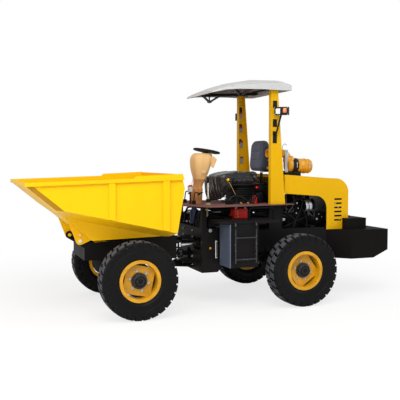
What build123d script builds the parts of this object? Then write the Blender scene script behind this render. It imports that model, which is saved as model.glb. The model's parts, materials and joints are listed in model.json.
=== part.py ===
"""Articulated site dumper with a forward tipping skip.

The machine is laid out from the front axle: X = 0 there, +X forward, +Y to
the machine's left, Z = 0 on the ground, in millimetres. Every piece is then
moved by ORIGIN_SHIFT, so that the stored origin is at mid length.
"""
from build123d import *
import os
from math import atan2, cos, degrees, hypot, radians, sin

# ---------------------------------------------------------------- driving sizes
WHEELBASE = 2016.0
LIP_X = 1185.0                    # front face of the skip's lip
TAIL_X = -3340.0                  # rear face of the counterweight
ORIGIN_SHIFT = -(LIP_X + TAIL_X) / 2
RUN_GAP = 0.3                     # between faces that slide or sit close
PIN_GAP = 0.05                    # radial clearance of a pin in its bore

# wheels
TYRE_R = 430.0
TYRE_HALF_W = 117.0
RIM_HALF_W = 92.5
RIM_SEAT_R = 203.0
RIM_FLANGE_R = 231.5
RIM_WALL = 8.0
WHEEL_Y = 807.5                   # wheel centre plane
DISC_Y = 22.0                     # disc's outer face from the wheel centre
DISC_T = 10.0
DISC_FLAT = 162.0                 # straight cuts on the disc, from its centre
HUB_CAP_R = 62.0
HUB_FLANGE_R = 128.0
HUB_IN = 62.0                     # hub's inner end from the wheel centre
SPINDLE_R = 32.0
AXLE_Z = TYRE_R
BOWL_R = 132.0                    # differential bowl

# skip
SKIP_HALF_W = 800.0
SKIP_WALL = 6.0
PIVOT_X, PIVOT_Z = 547.0, 833.0
BELLY_HALF_W = 450.0
LIP_Z = 1463.0
FLOOR_FRONT = (424.0, 838.0)      # X, Z of the belly's front lower corner
FLOOR_REAR = (-447.0, 862.0)
KINK = (-543.0, 1423.0)           # rearmost point of the skip's back
TOP_REAR = (-501.0, 1585.0)
LEDGE_FRONT = (794.0, 1204.0)     # side panel's lower edge, X, Z
LEDGE_REAR = (-460.0, 923.0)
LEDGE_DROP = 83.0                 # ledge's fall from the panel to the belly
SLOPE_BEVEL = 48.0
RIM_PROUD = 28.0
RIM_TOP_FRONT = 1502.0            # rim's top edge at the lip and before the step
RIM_TOP_STEP = 1536.0
RIM_STEP_X = 40.0                 # where the rim steps up to its rear part
RIM_STEP = 26.0
RIM_BOTTOM_REAR = 1517.0
EAR_GAP = 5.0
EAR_T = 20.0
EAR_R = 45.0
PIVOT_PIN_R = 20.0

# front chassis
FRAME_HALF_W = 340.0
FRAME_T = 20.0
FRAME_FRONT_X = 496.0
FRAME_REAR_X = -600.0

# articulation
ARTIC_X = -730.0
ARTIC_PIN_R = 25.0
TONGUE_T = 30.0
CLEVIS_T = 20.0
CLEVIS_GAP = 5.0
UPPER_TONGUE_Z = 740.0
LOWER_TONGUE_Z = 455.0

# rear chassis
REAR_AXLE_X = -WHEELBASE
TOWER_X = -880.0
TOWER_DEPTH = 270.0
TOWER_BOTTOM_Z = 400.0
TOWER_TOP_Z = 930.0
TOWER_PLATE_T = 20.0
TOWER_SIDE_T = 20.0
WINDOW_Y = (165.0, 400.0)         # window for the steering cylinder
WINDOW_HALF_H = 75.0
RAIL_HALF_W = 450.0
RAIL_W = 60.0
RAIL_TOP_Z = 888.0
RAIL_H = 220.0
RAIL_END_X = -2640.0
CROSS_TOP_Z = 735.0
DECK_TOP_Z = 1200.0
DECK_T = 10.0

# driver's place
POST_HALF_W = 508.0
POST_X = -1750.0
POST_FOOT = 200.0                 # fore and aft width at the foot
POST_HEAD = 92.0
POST_FLANGE = 60.0
POST_WALL = 8.0
POST_TOP_Z = 2590.0
SEAT_Y = 0.0
SEAT_HALF_W = 245.0

# engine bay
HOOD_HALF_W = 470.0
HOOD_FRONT_X = -1960.0
HOOD_REAR_X = -2880.0
HOOD_TOP_Z = 1559.0
HOOD_T = 5.0
CRANK_Z = 960.0

# counterweight
CW_HALF_W = 680.0
CW_TOP_Z = 862.0
HOOD_BOTTOM_Z = CW_TOP_Z + RUN_GAP
CW_BOTTOM_Z = 502.0
CW_BLOCK_HALF_W = 550.0
CW_BLOCK_TOP_Z = 1000.0
TOW_NOTCH_HALF_W = 85.0
TOW_NOTCH = 140.0                 # depth of the notch in the tail
TOW_PIN_R = 14.0
TOW_PLATE_T = 20.0
TOW_JAW = 60.0                    # open height between the hitch's plates
TOW_Z = 690.0

parts = {}


# ---------------------------------------------------------------- helpers
def block(x0, x1, y0, y1, z0, z1):
    """Box between two corners."""
    size = Box(abs(x1 - x0), abs(y1 - y0), abs(z1 - z0))
    return Pos((x0 + x1) / 2, (y0 + y1) / 2, (z0 + z1) / 2) * size


def rod(start, end, radius, inner=0.0):
    """Round bar or tube between two points."""
    a, b = Vector(*start), Vector(*end)
    plane = Plane(origin=a, z_dir=(b - a).normalized())
    section = Circle(radius) - Circle(inner) if inner else Circle(radius)
    return extrude(plane * section, (b - a).length)


def side_prism(points, y0, y1):
    """Plate or prism with its outline given as X, Z points."""
    face = make_face(Polyline(*points, close=True))
    return Pos(0, max(y0, y1), 0) * extrude(Plane.XZ * face, abs(y1 - y0))


def plan_prism(points, z0, z1):
    """Plate or prism with its outline given as X, Y points."""
    face = make_face(Polyline(*points, close=True))
    return Pos(0, 0, z0) * extrude(face, z1 - z0)


def bent_bar(points, bend, radius):
    """Round bar bent along straight runs and arcs."""
    path = FilletPolyline(*points, radius=bend)
    start = Plane(origin=path @ 0, z_dir=path % 0)
    return sweep(start * Circle(radius), path=path)


def lug(eye, radius, root_a, root_b, y0, y1):
    """Plate in X-Z: round about the eye and running out to a root edge."""
    ring = Pos(*eye) * Circle(radius)
    web = make_hull(ring.edges() + Edge.make_line((*root_a, 0), (*root_b, 0)).edges())
    return Pos(0, max(y0, y1), 0) * extrude(Plane.XZ * web, abs(y1 - y0))


def plan_lug(eye, radius, root_a, root_b, z0, z1):
    """Plate in X-Y: round about the eye and running out to a root edge."""
    ring = Pos(*eye) * Circle(radius)
    web = make_hull(ring.edges() + Edge.make_line((*root_a, 0), (*root_b, 0)).edges())
    return Pos(0, 0, z0) * extrude(web, z1 - z0)


def both_sides(shape):
    """The shape and its mirror image across the mid plane."""
    return shape + mirror(shape, about=Plane.XZ)


def turned(profile):
    """Solid of revolution about Y from (y, radius) points."""
    face = make_face(Polyline(*[(r, y) for y, r in profile], close=True))
    return revolve(face, axis=Axis.Y)


def offset_polygon(points, inset):
    """Polygon with every side moved inwards by inset (points run clockwise)."""
    n = len(points)
    lines = []
    for i in range(n):
        (x0, z0), (x1, z1) = points[i], points[(i + 1) % n]
        length = hypot(x1 - x0, z1 - z0)
        nx, nz = (z1 - z0) / length, -(x1 - x0) / length
        lines.append((x0 + nx * inset, z0 + nz * inset, x1 - x0, z1 - z0))
    out = []
    for i in range(n):
        ax, az, adx, adz = lines[i - 1]
        bx, bz, bdx, bdz = lines[i]
        t = ((bx - ax) * bdz - (bz - az) * bdx) / (adx * bdz - adz * bdx)
        out.append((ax + t * adx, az + t * adz))
    return out


# ---------------------------------------------------------------- wheels
def make_tyre():
    seat = RIM_HALF_W - RIM_WALL - RUN_GAP
    half = [
        (seat, RIM_SEAT_R + RUN_GAP), (seat, RIM_FLANGE_R + 2), (98, 246), (112, 285),
        (TYRE_HALF_W, 322), (114, 362), (106, 396), (96, 415), (60, 426), (20, TYRE_R),
    ]
    return turned(half + [(-y, r) for y, r in reversed(half)])


def make_rim():
    flange_in = RIM_HALF_W - RIM_WALL
    bore = RIM_SEAT_R - RIM_WALL
    barrel = turned([
        (RIM_HALF_W, bore), (RIM_HALF_W, RIM_FLANGE_R), (flange_in, RIM_FLANGE_R),
        (flange_in, RIM_SEAT_R), (-flange_in, RIM_SEAT_R), (-flange_in, RIM_FLANGE_R),
        (-RIM_HALF_W, RIM_FLANGE_R), (-RIM_HALF_W, bore),
    ])
    disc_back = DISC_Y - DISC_T
    disc = rod((0, disc_back, 0), (0, DISC_Y, 0), bore + 2)
    square = block(-DISC_FLAT, DISC_FLAT, disc_back - 1, DISC_Y + 1, -DISC_FLAT, DISC_FLAT)
    disc = disc & (Rot(0, 35, 0) * square)
    centre = rod((0, disc_back - 1, 0), (0, DISC_Y + 1, 0), HUB_CAP_R + 1)
    return barrel + (disc - centre)


def make_hub():
    back = DISC_Y - DISC_T - RUN_GAP
    hub = turned([
        (-HUB_IN, 0), (-HUB_IN, 72), (back - 14, 78), (back - 14, HUB_FLANGE_R),
        (back, HUB_FLANGE_R), (back, HUB_CAP_R), (RIM_HALF_W - 8, HUB_CAP_R),
        (RIM_HALF_W - 2, HUB_CAP_R - 8), (RIM_HALF_W - 2, 0),
    ])
    bore = rod((0, -HUB_IN - 1, 0), (0, -HUB_IN + 58, 0), SPINDLE_R + PIN_GAP)
    return hub - bore


TYRE, RIM, HUB = make_tyre(), make_rim(), make_hub()
WHEELS = [
    # name, X, side of the machine, how far the wheel stands turned
    ("front_left", 0.0, 1, 43.0),
    ("front_right", 0.0, -1, 10.0),
    ("rear_left", REAR_AXLE_X, 1, 0.0),
    ("rear_right", REAR_AXLE_X, -1, 25.0),
]
for name, x, side, turn in WHEELS:
    place = Pos(x, side * WHEEL_Y, AXLE_Z) * Rot(0, 0, 0 if side > 0 else 180)
    parts["tyre_" + name] = place * TYRE
    parts["rim_" + name] = place * Rot(0, turn, 0) * RIM
    parts["hub_" + name] = place * HUB


def make_axle(x, pad_z, pad_y):
    """Rigid axle: differential bowl, tubes, end flanges and spindles."""
    end = WHEEL_Y - HUB_IN - RUN_GAP
    axle = rod((x, -end, AXLE_Z), (x, end, AXLE_Z), 52)
    for s in (-1, 1):
        axle += rod((x, s * (end - 40), AXLE_Z), (x, s * end, AXLE_Z), 78)
        axle += rod((x, s * end, AXLE_Z), (x, s * (end + 55), AXLE_Z), SPINDLE_R)
        axle += block(x - 60, x + 60, s * (pad_y - 35), s * (pad_y + 35), AXLE_Z, pad_z - RUN_GAP)
    bowl = Pos(x, 0, AXLE_Z) * scale(Sphere(BOWL_R), by=(1.0, 1.25, 1.0))
    return axle + bowl


# ---------------------------------------------------------------- skip
def rim_top(x):
    """Height of the rim's top edge before its step."""
    rise = (RIM_TOP_STEP - RIM_TOP_FRONT) / (LIP_X - RIM_STEP_X)
    return RIM_TOP_FRONT + (LIP_X - x) * rise


def rim_bottom(x):
    """Height of the rim's lower edge."""
    return LIP_Z + (LIP_X - x) * (RIM_BOTTOM_REAR - LIP_Z) / (LIP_X - TOP_REAR[0])


def skip_hull(inset):
    """Solid hull of the skip, open above, with every wall moved in by inset."""
    lean = (TOP_REAR[0] - KINK[0]) / (TOP_REAR[1] - KINK[1])
    top = 1700.0 + 6 * inset
    outline = [
        (LIP_X - 12, LIP_Z), FLOOR_FRONT, FLOOR_REAR, KINK,
        (KINK[0] + lean * (top - KINK[1]), top), (LIP_X - 12, top),
    ]
    half = SKIP_HALF_W - inset
    hull = side_prism(offset_polygon(outline, inset), -half, half)
    # belly: the side panels step in to it over a sloping ledge
    slope = (LEDGE_FRONT[1] - LEDGE_REAR[1]) / (LEDGE_FRONT[0] - LEDGE_REAR[0])
    fall = LEDGE_DROP / (SKIP_HALF_W - BELLY_HALF_W)
    lift = inset * (1 + fall * fall) ** 0.5
    x0, x1 = LEDGE_REAR[0] - 400, LEDGE_FRONT[0] + 500
    belly, outer = BELLY_HALF_W - inset, SKIP_HALF_W + 60
    base_z = LEDGE_REAR[1] + (x0 - LEDGE_REAR[0]) * slope + lift
    section = [
        (belly, base_z - (SKIP_HALF_W - belly) * fall), (outer, base_z + 60 * fall),
        (outer, -600), (belly, -600),
    ]
    face = Plane(origin=(x0, 0, 0), x_dir=(0, 1, 0), z_dir=(1, 0, 0)) * make_face(
        Polyline(*section, close=True))
    run = Vector(x1 - x0, 0, (x1 - x0) * slope)
    hull -= both_sides(extrude(face, run.length, dir=run.normalized()))
    # bevel between the side panels and the front slope
    dx, dz = LIP_X - 12 - FLOOR_FRONT[0], LIP_Z - FLOOR_FRONT[1]
    along = Vector(dx, 0, dz).normalized()
    inward = Vector(-along.Z, 0, along.X)
    start = Vector(FLOOR_FRONT[0], 0, FLOOR_FRONT[1]) + inward * inset - along * 400
    reach = SLOPE_BEVEL - inset * 0.586
    corner = Plane(origin=start, x_dir=(0, 1, 0), z_dir=along)
    tri = [(half + 5, -5), (half + 5, reach + 5), (half - reach - 5, -5)]
    wedge = extrude(corner * make_face(Polyline(*tri, close=True)), hypot(dx, dz) + 800)
    return hull - both_sides(wedge)




def make_skip():
    outer = skip_hull(0)
    inner = skip_hull(SKIP_WALL)
    shell = outer - inner
    above = side_prism([
        (LIP_X + 100, rim_top(LIP_X + 100) - 4), (RIM_STEP_X, rim_top(RIM_STEP_X) - 4),
        (RIM_STEP_X - 26, rim_top(RIM_STEP_X) + RIM_STEP - 4), (TOP_REAR[0] - 100, TOP_REAR[1] - 0),
        (TOP_REAR[0] - 100, 2000), (LIP_X + 100, 2000),
    ], -900, 900)
    return outer, shell - above


SKIP_OUTER, SKIP_SHELL = make_skip()
parts["skip_shell"] = SKIP_SHELL


def make_skip_rim():
    """Folded box rim round the mouth, outside the panels."""
    top_rear = TOP_REAR[1]
    outline = [
        (LIP_X, LIP_Z), (LIP_X, rim_top(LIP_X)), (RIM_STEP_X, rim_top(RIM_STEP_X)),
        (RIM_STEP_X - 26, rim_top(RIM_STEP_X) + RIM_STEP), (TOP_REAR[0] - 8, top_rear),
        (TOP_REAR[0] - 30, rim_bottom(TOP_REAR[0] - 30)),
    ]
    y0 = SKIP_HALF_W + RUN_GAP
    bars = both_sides(side_prism(outline, y0, y0 + RIM_PROUD))
    lip = block(LIP_X - 12 + RUN_GAP, LIP_X, -y0 - 5, y0 + 5, LIP_Z, rim_top(LIP_X))
    ring = bars + lip
    return ring - SKIP_OUTER


parts["skip_rim"] = make_skip_rim()

RIBS = [
    # front X, width
    (320.0, 72.0),
    (-283.0, 79.0),
]
ribs = None
for x1, width in RIBS:
    top = rim_bottom(x1) - RUN_GAP
    low = LEDGE_REAR[1] + 6 + (x1 - LEDGE_REAR[0]) * (
        (LEDGE_FRONT[1] - LEDGE_REAR[1]) / (LEDGE_FRONT[0] - LEDGE_REAR[0]))
    drop = width * (LEDGE_FRONT[1] - LEDGE_REAR[1]) / (LEDGE_FRONT[0] - LEDGE_REAR[0])
    y0 = SKIP_HALF_W + RUN_GAP
    outline = [(x1, low), (x1, top), (x1 - width, top), (x1 - width, low - drop)]
    rib = both_sides(side_prism(outline, y0, y0 + RIM_PROUD - 3))
    ribs = rib if ribs is None else ribs + rib
parts["skip_ribs"] = ribs


def make_skip_ears():
    """Pivot ears with their keeper plates and pins, and the cylinder's lugs."""
    y0 = FRAME_HALF_W + EAR_GAP
    ear = lug((PIVOT_X, PIVOT_Z), EAR_R, (690.0, 1085.0), (365.0, 860.0), y0, y0 + EAR_T)
    ear -= SKIP_OUTER
    pin = rod((PIVOT_X, FRAME_HALF_W - FRAME_T - 12, PIVOT_Z), (PIVOT_X, y0 + EAR_T, PIVOT_Z),
              PIVOT_PIN_R)
    keeper = lug((PIVOT_X, PIVOT_Z), 26, (PIVOT_X - 8, PIVOT_Z + 90), (PIVOT_X + 8, PIVOT_Z + 90),
                 y0 + EAR_T, y0 + EAR_T + 8)
    return both_sides(ear + pin + keeper)


parts["skip_ears"] = make_skip_ears()

# tipping cylinder: barrel foot in the front chassis, rod eye below the skip's floor
TIP_FOOT = (-300.0, 580.0)
TIP_EYE = (280.0, 788.0)
TIP_BARREL_R = 48.0
TIP_ROD_R = 25.0
TIP_LUG_GAP = 5.0
TIP_EYE_HALF = 30.0


def floor_z(x):
    """Underside of the skip's floor."""
    (x0, z0), (x1, z1) = FLOOR_FRONT, FLOOR_REAR
    return z0 + (x - x0) * (z1 - z0) / (x1 - x0)


def make_tip_bracket():
    y0 = TIP_EYE_HALF + TIP_LUG_GAP
    ex, ez = TIP_EYE
    top_a = (ex + 70, floor_z(ex + 70) - RUN_GAP)
    top_b = (ex - 70, floor_z(ex - 70) - RUN_GAP)
    plate = lug(TIP_EYE, 34, top_a, top_b, y0, y0 + 16)
    return both_sides(plate)


parts["tip_bracket"] = make_tip_bracket()

tip_len = hypot(TIP_EYE[0] - TIP_FOOT[0], TIP_EYE[1] - TIP_FOOT[1])
tip_dir = Vector((TIP_EYE[0] - TIP_FOOT[0]) / tip_len, 0, (TIP_EYE[1] - TIP_FOOT[1]) / tip_len)


def along_tip(distance, y=0.0):
    """Point on the tipping cylinder's axis, from its foot."""
    return (TIP_FOOT[0] + tip_dir.X * distance, y, TIP_FOOT[1] + tip_dir.Z * distance)


TIP_GLAND = 470.0
tip_barrel = rod(along_tip(45), along_tip(TIP_GLAND), TIP_BARREL_R)
tip_barrel -= rod(along_tip(75), along_tip(TIP_GLAND + 1), TIP_ROD_R + PIN_GAP)
tip_barrel += rod((TIP_FOOT[0], -TIP_EYE_HALF, TIP_FOOT[1]), (TIP_FOOT[0], TIP_EYE_HALF, TIP_FOOT[1]),
                  40) + rod(along_tip(0), along_tip(60), 30)
tip_barrel -= rod((TIP_FOOT[0], -60, TIP_FOOT[1]), (TIP_FOOT[0], 60, TIP_FOOT[1]), 20 + PIN_GAP)
tip_barrel += rod(along_tip(TIP_GLAND - 40), along_tip(TIP_GLAND), TIP_BARREL_R + 5,
                  TIP_ROD_R + PIN_GAP)
parts["tip_barrel"] = tip_barrel
tip_rod = rod(along_tip(80), along_tip(tip_len - 20), TIP_ROD_R)
tip_rod += rod((TIP_EYE[0], -TIP_EYE_HALF, TIP_EYE[1]), (TIP_EYE[0], TIP_EYE_HALF, TIP_EYE[1]), 28)
parts["tip_rod"] = tip_rod - rod((TIP_EYE[0], -60, TIP_EYE[1]), (TIP_EYE[0], 60, TIP_EYE[1]), 15)


# ---------------------------------------------------------------- front chassis
STEER_Z = 735.0
STEER_EYE = (ARTIC_X + 80.0, 300.0)       # X, Y on the front chassis
STEER_FOOT = (ARTIC_X - 500.0, 250.0)     # X, Y on the rear chassis
STEER_BARREL_R = 38.0
STEER_ROD_R = 19.0
STEER_EYE_HALF = 24.0


SHAFT_HOLE_Z = 570.0


def make_front_frame():
    """Two side plates, cross plates, axle brackets and the rear tongues."""
    outline = [
        (FRAME_FRONT_X, 606), (FRAME_FRONT_X, 797), (FRAME_REAR_X, 845), (FRAME_REAR_X, 576),
    ]
    y_in = FRAME_HALF_W - FRAME_T
    plate = side_prism(outline, y_in, FRAME_HALF_W)
    plate += lug((PIVOT_X, PIVOT_Z), 46, (FRAME_FRONT_X - 110, 680), (FRAME_FRONT_X - 110, 790),
                 y_in, FRAME_HALF_W)
    plate -= rod((PIVOT_X, y_in - 1, PIVOT_Z), (PIVOT_X, FRAME_HALF_W + 1, PIVOT_Z),
                 PIVOT_PIN_R + PIN_GAP)
    frame = both_sides(plate)
    frame += block(FRAME_FRONT_X - 16, FRAME_FRONT_X, -y_in, y_in, 606, 790)
    frame += block(FRAME_REAR_X, FRAME_REAR_X + 20, -y_in, y_in, 576, 845)
    frame += block(FRAME_REAR_X, FRAME_REAR_X + 20, -170, 170, 440, 576)
    frame -= rod((FRAME_REAR_X - 1, 0, SHAFT_HOLE_Z), (FRAME_REAR_X + 21, 0, SHAFT_HOLE_Z), 52)
    # pads that the lowered skip rests on
    for s in (-1, 1):
        frame += side_prism([
            (-330, 820), (-330, floor_z(-330) - RUN_GAP), (-410, floor_z(-410) - RUN_GAP), (-410, 820),
        ], s * y_in, s * FRAME_HALF_W)
    # cross tubes, low enough for the cylinder
    for x, z in ((330, 650), (-470, 640)):
        frame += rod((x, -y_in, z), (x, y_in, z), 35)
    # axle brackets
    for s in (-1, 1):
        frame += block(-75, 75, s * 245, s * y_in, 500, 640)
    # foot lugs of the tipping cylinder, on the rear cross tube
    for s in (-1, 1):
        y0 = s * (TIP_EYE_HALF + TIP_LUG_GAP)
        foot = lug(TIP_FOOT, 42, (-490, 615), (-490, 675), y0, y0 + s * 16)
        frame += foot
    frame += rod((TIP_FOOT[0], -55, TIP_FOOT[1]), (TIP_FOOT[0], 55, TIP_FOOT[1]), 20)
    # rear tongues
    for z in (UPPER_TONGUE_Z, LOWER_TONGUE_Z):
        tongue = plan_lug((ARTIC_X, 0), 52, (FRAME_REAR_X, -120), (FRAME_REAR_X, 120), z, z + TONGUE_T)
        tongue -= rod((ARTIC_X, 0, z - 1), (ARTIC_X, 0, z + TONGUE_T + 1), ARTIC_PIN_R + PIN_GAP)
        frame += tongue
    # steering cylinder's lugs
    for z0 in (STEER_Z - STEER_EYE_HALF - 5 - 14, STEER_Z + STEER_EYE_HALF + 5):
        frame += plan_lug(STEER_EYE, 30, (FRAME_REAR_X, STEER_EYE[1] - 55),
                          (FRAME_REAR_X, STEER_EYE[1] + 25), z0, z0 + 14)
    return frame


parts["front_frame"] = make_front_frame()
parts["front_axle"] = make_axle(0.0, 500.0, 290.0)

front_shaft = rod((-BOWL_R - RUN_GAP, 0, AXLE_Z + 24), (ARTIC_X + 62, 0, 590), 28)
front_shaft += rod((-BOWL_R - RUN_GAP, 0, AXLE_Z + 24), (-BOWL_R - 36, 0, AXLE_Z + 24), 44)
for s in (-1, 1):
    front_shaft += block(ARTIC_X - 18, ARTIC_X + 66, s * 34, s * 46, 572, 608)
front_shaft += block(ARTIC_X + 54, ARTIC_X + 66, -46, 46, 572, 608)
front_shaft += rod((ARTIC_X, -36, 590), (ARTIC_X, 36, 590), 12)
front_shaft += rod((ARTIC_X, 0, 556), (ARTIC_X, 0, 624), 12)
parts["propshaft_front"] = front_shaft


# ---------------------------------------------------------------- rear chassis
CW_FLARE = [
    # X, half width: where the side leaves the rail, the fold, and the tail
    (-2570.0, 450.0), (-2800.0, CW_HALF_W), (TAIL_X, CW_HALF_W),
]


TOWER_REAR_X = TOWER_X - TOWER_DEPTH


def make_tower():
    """Tower of the rear chassis: plate with a window, two sides and front stanchions."""
    side_in = RAIL_HALF_W - TOWER_SIDE_T
    tower = block(TOWER_X - TOWER_PLATE_T, TOWER_X, -side_in, side_in, TOWER_BOTTOM_Z, TOWER_TOP_Z)
    window = block(TOWER_X - TOWER_PLATE_T - 1, TOWER_X + 1, WINDOW_Y[0], WINDOW_Y[1],
                   STEER_Z - WINDOW_HALF_H, STEER_Z + WINDOW_HALF_H)
    shaft_hole = rod((TOWER_X - TOWER_PLATE_T - 1, 0, 590), (TOWER_X + 1, 0, 590), 75)
    tower -= window + shaft_hole
    side = side_prism([
        (TOWER_X, TOWER_BOTTOM_Z), (TOWER_X, TOWER_TOP_Z), (TOWER_REAR_X, TOWER_TOP_Z),
        (TOWER_REAR_X, 470), (TOWER_REAR_X + 70, TOWER_BOTTOM_Z),
    ], side_in, RAIL_HALF_W)
    side += block(TOWER_X - 60, TOWER_X, RAIL_HALF_W - RAIL_W, RAIL_HALF_W, TOWER_TOP_Z,
                  DECK_TOP_Z - DECK_T - RUN_GAP)
    return tower + both_sides(side)


def make_clevis():
    """Two pairs of eyed plates on the tower, about the front chassis's tongues."""
    clevis = None
    for z in (UPPER_TONGUE_Z, LOWER_TONGUE_Z):
        for z0 in (z - CLEVIS_GAP - CLEVIS_T, z + TONGUE_T + CLEVIS_GAP):
            plate = plan_lug((ARTIC_X, 0), 56, (TOWER_X + RUN_GAP, -150), (TOWER_X + RUN_GAP, 150),
                             z0, z0 + CLEVIS_T)
            plate -= rod((ARTIC_X, 0, z0 - 1), (ARTIC_X, 0, z0 + CLEVIS_T + 1), ARTIC_PIN_R)
            clevis = plate if clevis is None else clevis + plate
    return clevis


def make_rear_frame():
    """Side rails with cross members, seat stanchions and the steering foot."""
    frame = None
    for s in (-1, 1):
        rail = block(RAIL_END_X, TOWER_REAR_X - RUN_GAP, s * (RAIL_HALF_W - RAIL_W), s * RAIL_HALF_W,
                     RAIL_TOP_Z - RAIL_H, RAIL_TOP_Z)
        frame = rail if frame is None else frame + rail
        frame += block(POST_X - 190, POST_X - 10, s * 390, s * RAIL_HALF_W, RAIL_TOP_Z,
                       DECK_TOP_Z - DECK_T - RUN_GAP)
        frame += block(REAR_AXLE_X - 80, REAR_AXLE_X + 80, s * 355, s * RAIL_HALF_W, 505,
                       RAIL_TOP_Z - RAIL_H)
    for x in (-1640.0, -2590.0):
        frame += block(x - 40, x + 40, -395, 395, CROSS_TOP_Z - 80, CROSS_TOP_Z)
    # foot lugs of the steering cylinder on a cross plate
    foot_x = STEER_FOOT[0]
    frame += block(foot_x - 90, foot_x - 70, 165, 395, 670, 800)
    for z0 in (STEER_Z - STEER_EYE_HALF - 5 - 14, STEER_Z + STEER_EYE_HALF + 5):
        frame += plan_lug(STEER_FOOT, 30, (foot_x - 72, STEER_FOOT[1] - 40),
                          (foot_x - 72, STEER_FOOT[1] + 40), z0, z0 + 14)
    frame += rod((*STEER_FOOT, STEER_Z - 43), (*STEER_FOOT, STEER_Z + 43), 16)
    return frame


parts["tower"] = make_tower()
parts["clevis"] = make_clevis()
parts["rear_frame"] = make_rear_frame()
parts["rear_axle"] = make_axle(REAR_AXLE_X, 505.0, 400.0)

pins = None
for z in (UPPER_TONGUE_Z, LOWER_TONGUE_Z):
    low = z - CLEVIS_GAP - CLEVIS_T
    high = z + TONGUE_T + CLEVIS_GAP + CLEVIS_T
    pin = rod((ARTIC_X, 0, low), (ARTIC_X, 0, high), ARTIC_PIN_R)
    pin += rod((ARTIC_X, 0, high), (ARTIC_X, 0, high + 12), 38)
    pins = pin if pins is None else pins + pin
parts["articulation_pins"] = pins

steer_len = hypot(STEER_EYE[0] - STEER_FOOT[0], STEER_EYE[1] - STEER_FOOT[1])
steer_dir = ((STEER_EYE[0] - STEER_FOOT[0]) / steer_len, (STEER_EYE[1] - STEER_FOOT[1]) / steer_len)


def along_steer(distance):
    """Point on the steering cylinder's axis, from its foot."""
    return (STEER_FOOT[0] + steer_dir[0] * distance, STEER_FOOT[1] + steer_dir[1] * distance, STEER_Z)


STEER_GLAND = 385.0
STEER_IN = 62.0                   # rod's inner end when fully in
STEER_STROKE = 154.0              # travel each way from straight ahead
barrel = rod(along_steer(40), along_steer(STEER_GLAND), STEER_BARREL_R)
barrel -= rod(along_steer(STEER_IN - 4), along_steer(STEER_GLAND + 1), STEER_ROD_R + PIN_GAP)
barrel += rod((*STEER_FOOT, STEER_Z - STEER_EYE_HALF), (*STEER_FOOT, STEER_Z + STEER_EYE_HALF), 32)
barrel += rod(along_steer(0), along_steer(50), 22)
barrel -= rod((*STEER_FOOT, STEER_Z - 60), (*STEER_FOOT, STEER_Z + 60), 16 + PIN_GAP)
parts["steering_barrel"] = barrel
steer_rod = rod(along_steer(STEER_IN + STEER_STROKE), along_steer(steer_len - 18), STEER_ROD_R)
steer_rod += rod((*STEER_EYE, STEER_Z - STEER_EYE_HALF), (*STEER_EYE, STEER_Z + STEER_EYE_HALF), 26)
parts["steering_rod"] = steer_rod - rod((*STEER_EYE, STEER_Z - 60), (*STEER_EYE, STEER_Z + 60), 13)


def make_gearbox():
    """Torque converter housing and gearbox below the seat, with both shafts."""
    box = block(-1560, -1210, -150, 150, 640, 900)
    box = fillet(box.edges().filter_by(Axis.X), 40)
    box += rod((-1560, 0, CRANK_Z - 60), (-1850, 0, CRANK_Z - 60), 150)
    box += block(-1500, -1260, -110, 110, 500, 660)
    box += rod((-1262, 0, 590), (ARTIC_X - 62, 0, 590), 28)
    for s in (-1, 1):
        box += block(ARTIC_X - 66, ARTIC_X + 16, -16, 16, 590 + s * 36, 590 + s * 48)
    box += block(ARTIC_X - 66, ARTIC_X - 54, -16, 16, 542, 638)
    box += rod((-1498, 0, 560), (REAR_AXLE_X + BOWL_R + RUN_GAP, 0, AXLE_Z + 24), 28)
    box += rod((REAR_AXLE_X + BOWL_R + 40, 0, AXLE_Z + 24),
               (REAR_AXLE_X + BOWL_R + RUN_GAP, 0, AXLE_Z + 24), 44)
    for s in (-1, 1):
        box += block(-1680, -1600, s * 100, s * 330, CROSS_TOP_Z + RUN_GAP, 800)
    return box


gearbox = make_gearbox()
uj_bore = rod((ARTIC_X, 0, 540), (ARTIC_X, 0, 640), 12 + RUN_GAP)
parts["gearbox"] = gearbox - uj_bore


# ---------------------------------------------------------------- platform and steps
deck_half = [
    # X, half width of the floor plate
    (-680, 300), (-900, 655), (-1100, 655), (POST_X, 560), (-2066, 530), (-2066, 400), (-1940, 400),
]
deck = plan_prism(deck_half + [(x, -y) for x, y in reversed(deck_half)], DECK_TOP_Z - DECK_T, DECK_TOP_Z)
parts["floor_plate"] = deck

TANK_X = (-1442.0, -1080.0)
TANK_Y = (500.0, 820.0)
TANK_Z = (500.0, 1000.0)
STEP_X = (-1715.0, -960.0)
STEP_Y = (RAIL_HALF_W + RUN_GAP, 820.0)
STEP_TOP_Z = 1040.0
STEP_T = 36.0


def make_side_tanks():
    tank = block(*TANK_X, *TANK_Y, TANK_Z[0], TANK_Z[1])
    tank = fillet(tank.edges().filter_by(Axis.Z), 14)
    x_mid = (TANK_X[0] + TANK_X[1]) / 2
    tank += block(TANK_X[0] + 40, TANK_X[0] + 90, RAIL_HALF_W + RUN_GAP, TANK_Y[0] + 1, 690, 860)
    tank += block(TANK_X[1] - 150, TANK_X[1] - 100, RAIL_HALF_W + RUN_GAP, TANK_Y[0] + 1, 690, 860)
    tank += rod((x_mid + 120, 560, TANK_Z[1]), (x_mid + 120, 560, STEP_TOP_Z - STEP_T - 1), 3)
    return both_sides(tank)


parts["side_tanks"] = make_side_tanks()


HOOP_X = (-1660.0, -1345.0)
HOOP_Y = 760.0
HOOP_H = 138.0
HOOP_BEND = 45.0
LADDER_X = (-1392.0, -1132.0)
LADDER_OUT = 42.0                 # rails' distance outside the step


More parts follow.
